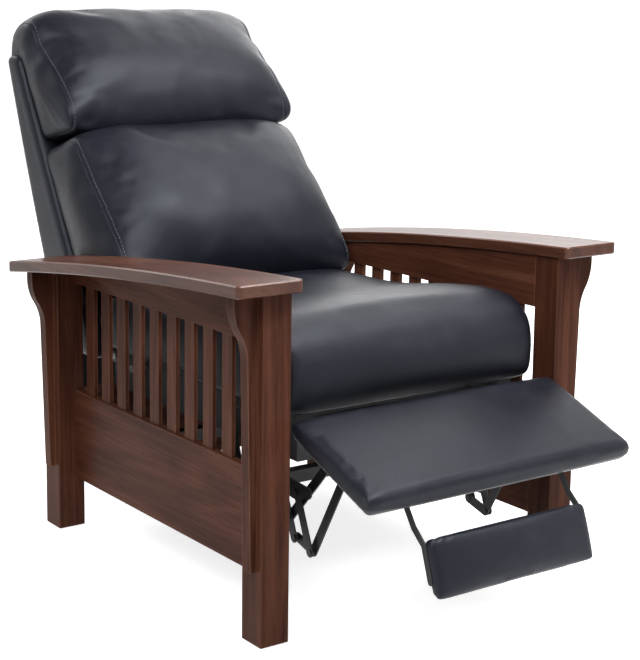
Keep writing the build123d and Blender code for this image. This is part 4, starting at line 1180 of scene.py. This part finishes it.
def plain_backdrop():
    """A round pale floor that curves up into a wall."""
    profile = [(FLOOR_REACH - FLOOR_BEND, 0.0)]
    for step in range(1, BEND_STEPS + 1):
        angle = math.radians(90 * step / BEND_STEPS)
        profile.append((FLOOR_REACH - FLOOR_BEND + FLOOR_BEND * math.sin(angle),
                        FLOOR_BEND - FLOOR_BEND * math.cos(angle)))
    profile.append((FLOOR_REACH, WALL_HEIGHT))
    mesh = bmesh.new()
    centre = mesh.verts.new((0, 0, 0))
    rings = [ring(mesh, Vector((0, 0, height)), Vector((1, 0, 0)), Vector((0, 1, 0)), radius,
                  WALL_TURNS) for radius, height in profile]
    for first, second in zip(rings[0], rings[0][1:] + rings[0][:1]):
        mesh.faces.new((centre, first, second))
    for low, high in zip(rings, rings[1:]):
        bridge(mesh, high, low)
    sweep = new_piece(mesh, "studio_sweep", paper())
    sweep.location.z = -FLOOR_GAP


def soft_box(name, place, aim, size, power):
    """A square area light at a place, turned to its aim."""
    lamp = bpy.data.lights.new(name, "AREA")
    lamp.shape = "RECTANGLE"
    lamp.size, lamp.size_y = size
    lamp.energy = power
    holder = bpy.data.objects.new(name, lamp)
    bpy.context.scene.collection.objects.link(holder)
    holder.location = place
    holder.rotation_euler = (Vector(aim) - Vector(place)).to_track_quat("-Z", "Y").to_euler()


def studio():
    """The pale light from all round, and the soft boxes."""
    world = bpy.data.worlds.new("studio")
    bpy.context.scene.world = world
    world.use_nodes = True
    background = world.node_tree.nodes["Background"]
    background.inputs["Color"].default_value = WORLD_COLOUR
    background.inputs["Strength"].default_value = WORLD_STRENGTH
    for name, (place, aim, size, power) in SOFT_BOXES.items():
        soft_box(name, place, aim, size, power)


def set_camera():
    """The photograph's camera, from its solved angles, distance and lens."""
    back = Vector((math.sin(CAMERA_AZIMUTH) * math.cos(CAMERA_ELEVATION),
                   -math.cos(CAMERA_AZIMUTH) * math.cos(CAMERA_ELEVATION),
                   math.sin(CAMERA_ELEVATION)))
    level = (-back).cross(Vector((0, 0, 1))).normalized()
    upward = level.cross(-back)
    right = level * math.cos(CAMERA_ROLL) + upward * math.sin(CAMERA_ROLL)
    top = -level * math.sin(CAMERA_ROLL) + upward * math.cos(CAMERA_ROLL)
    data = bpy.data.cameras.new("photo_camera")
    data.lens = CAMERA_LENS
    data.sensor_width = CAMERA_FILM_WIDTH
    data.shift_y = CAMERA_SHIFT_Y
    camera = bpy.data.objects.new("photo_camera", data)
    bpy.context.scene.collection.objects.link(camera)
    turn = Matrix((right, top, back)).transposed().to_4x4()
    camera.matrix_world = Matrix.Translation(CAMERA_TARGET + back * CAMERA_DISTANCE) @ turn
    bpy.context.scene.camera = camera


# The chair's leather, from the back down to the flipper
lumbar = back_pillow("lumbar_pillow", "lumbar_leather", LUMBAR_SHAPE, LUMBAR_STUFFING,
                     LUMBAR_FOOT_HELD, LUMBAR_SEED)
headrest = back_pillow("headrest_pillow", "headrest_leather", HEADREST_SHAPE, HEADREST_STUFFING,
                       HEADREST_FOOT_HELD, HEADREST_SEED)
rest_on_shell(headrest)
seat_cushion()
shell = padded_shell()
wrapped_pad("footrest", FOOTREST_UNDER, FOOTREST_OVER, FOOTREST_STUFFING)
wrapped_pad("flipper", FLIPPER_UNDER, FLIPPER_OVER, FLIPPER_STUFFING)

# Folds, lumps, seam ridges and stitches of the back
crease_front(headrest, HEADREST_FOLDS, HEADREST_FOLD_SIZE)
crease_front(headrest, HEADREST_HOLLOWS, HEADREST_HOLLOW_SIZE)
swell_front(headrest, HEADREST_LUMPS)
crease_front(lumbar, LUMBAR_FOLDS, LUMBAR_FOLD_SIZE)
swell_front(lumbar, LUMBAR_LUMPS)
trim_pillow(lumbar, "lumbar_pillow", "lumbar")
trim_pillow(headrest, "headrest_pillow", "headrest")
stitch_shell(shell)

# The studio round it
plain_backdrop()
studio()
set_camera()
bpy.context.scene.view_settings.view_transform = "Standard"
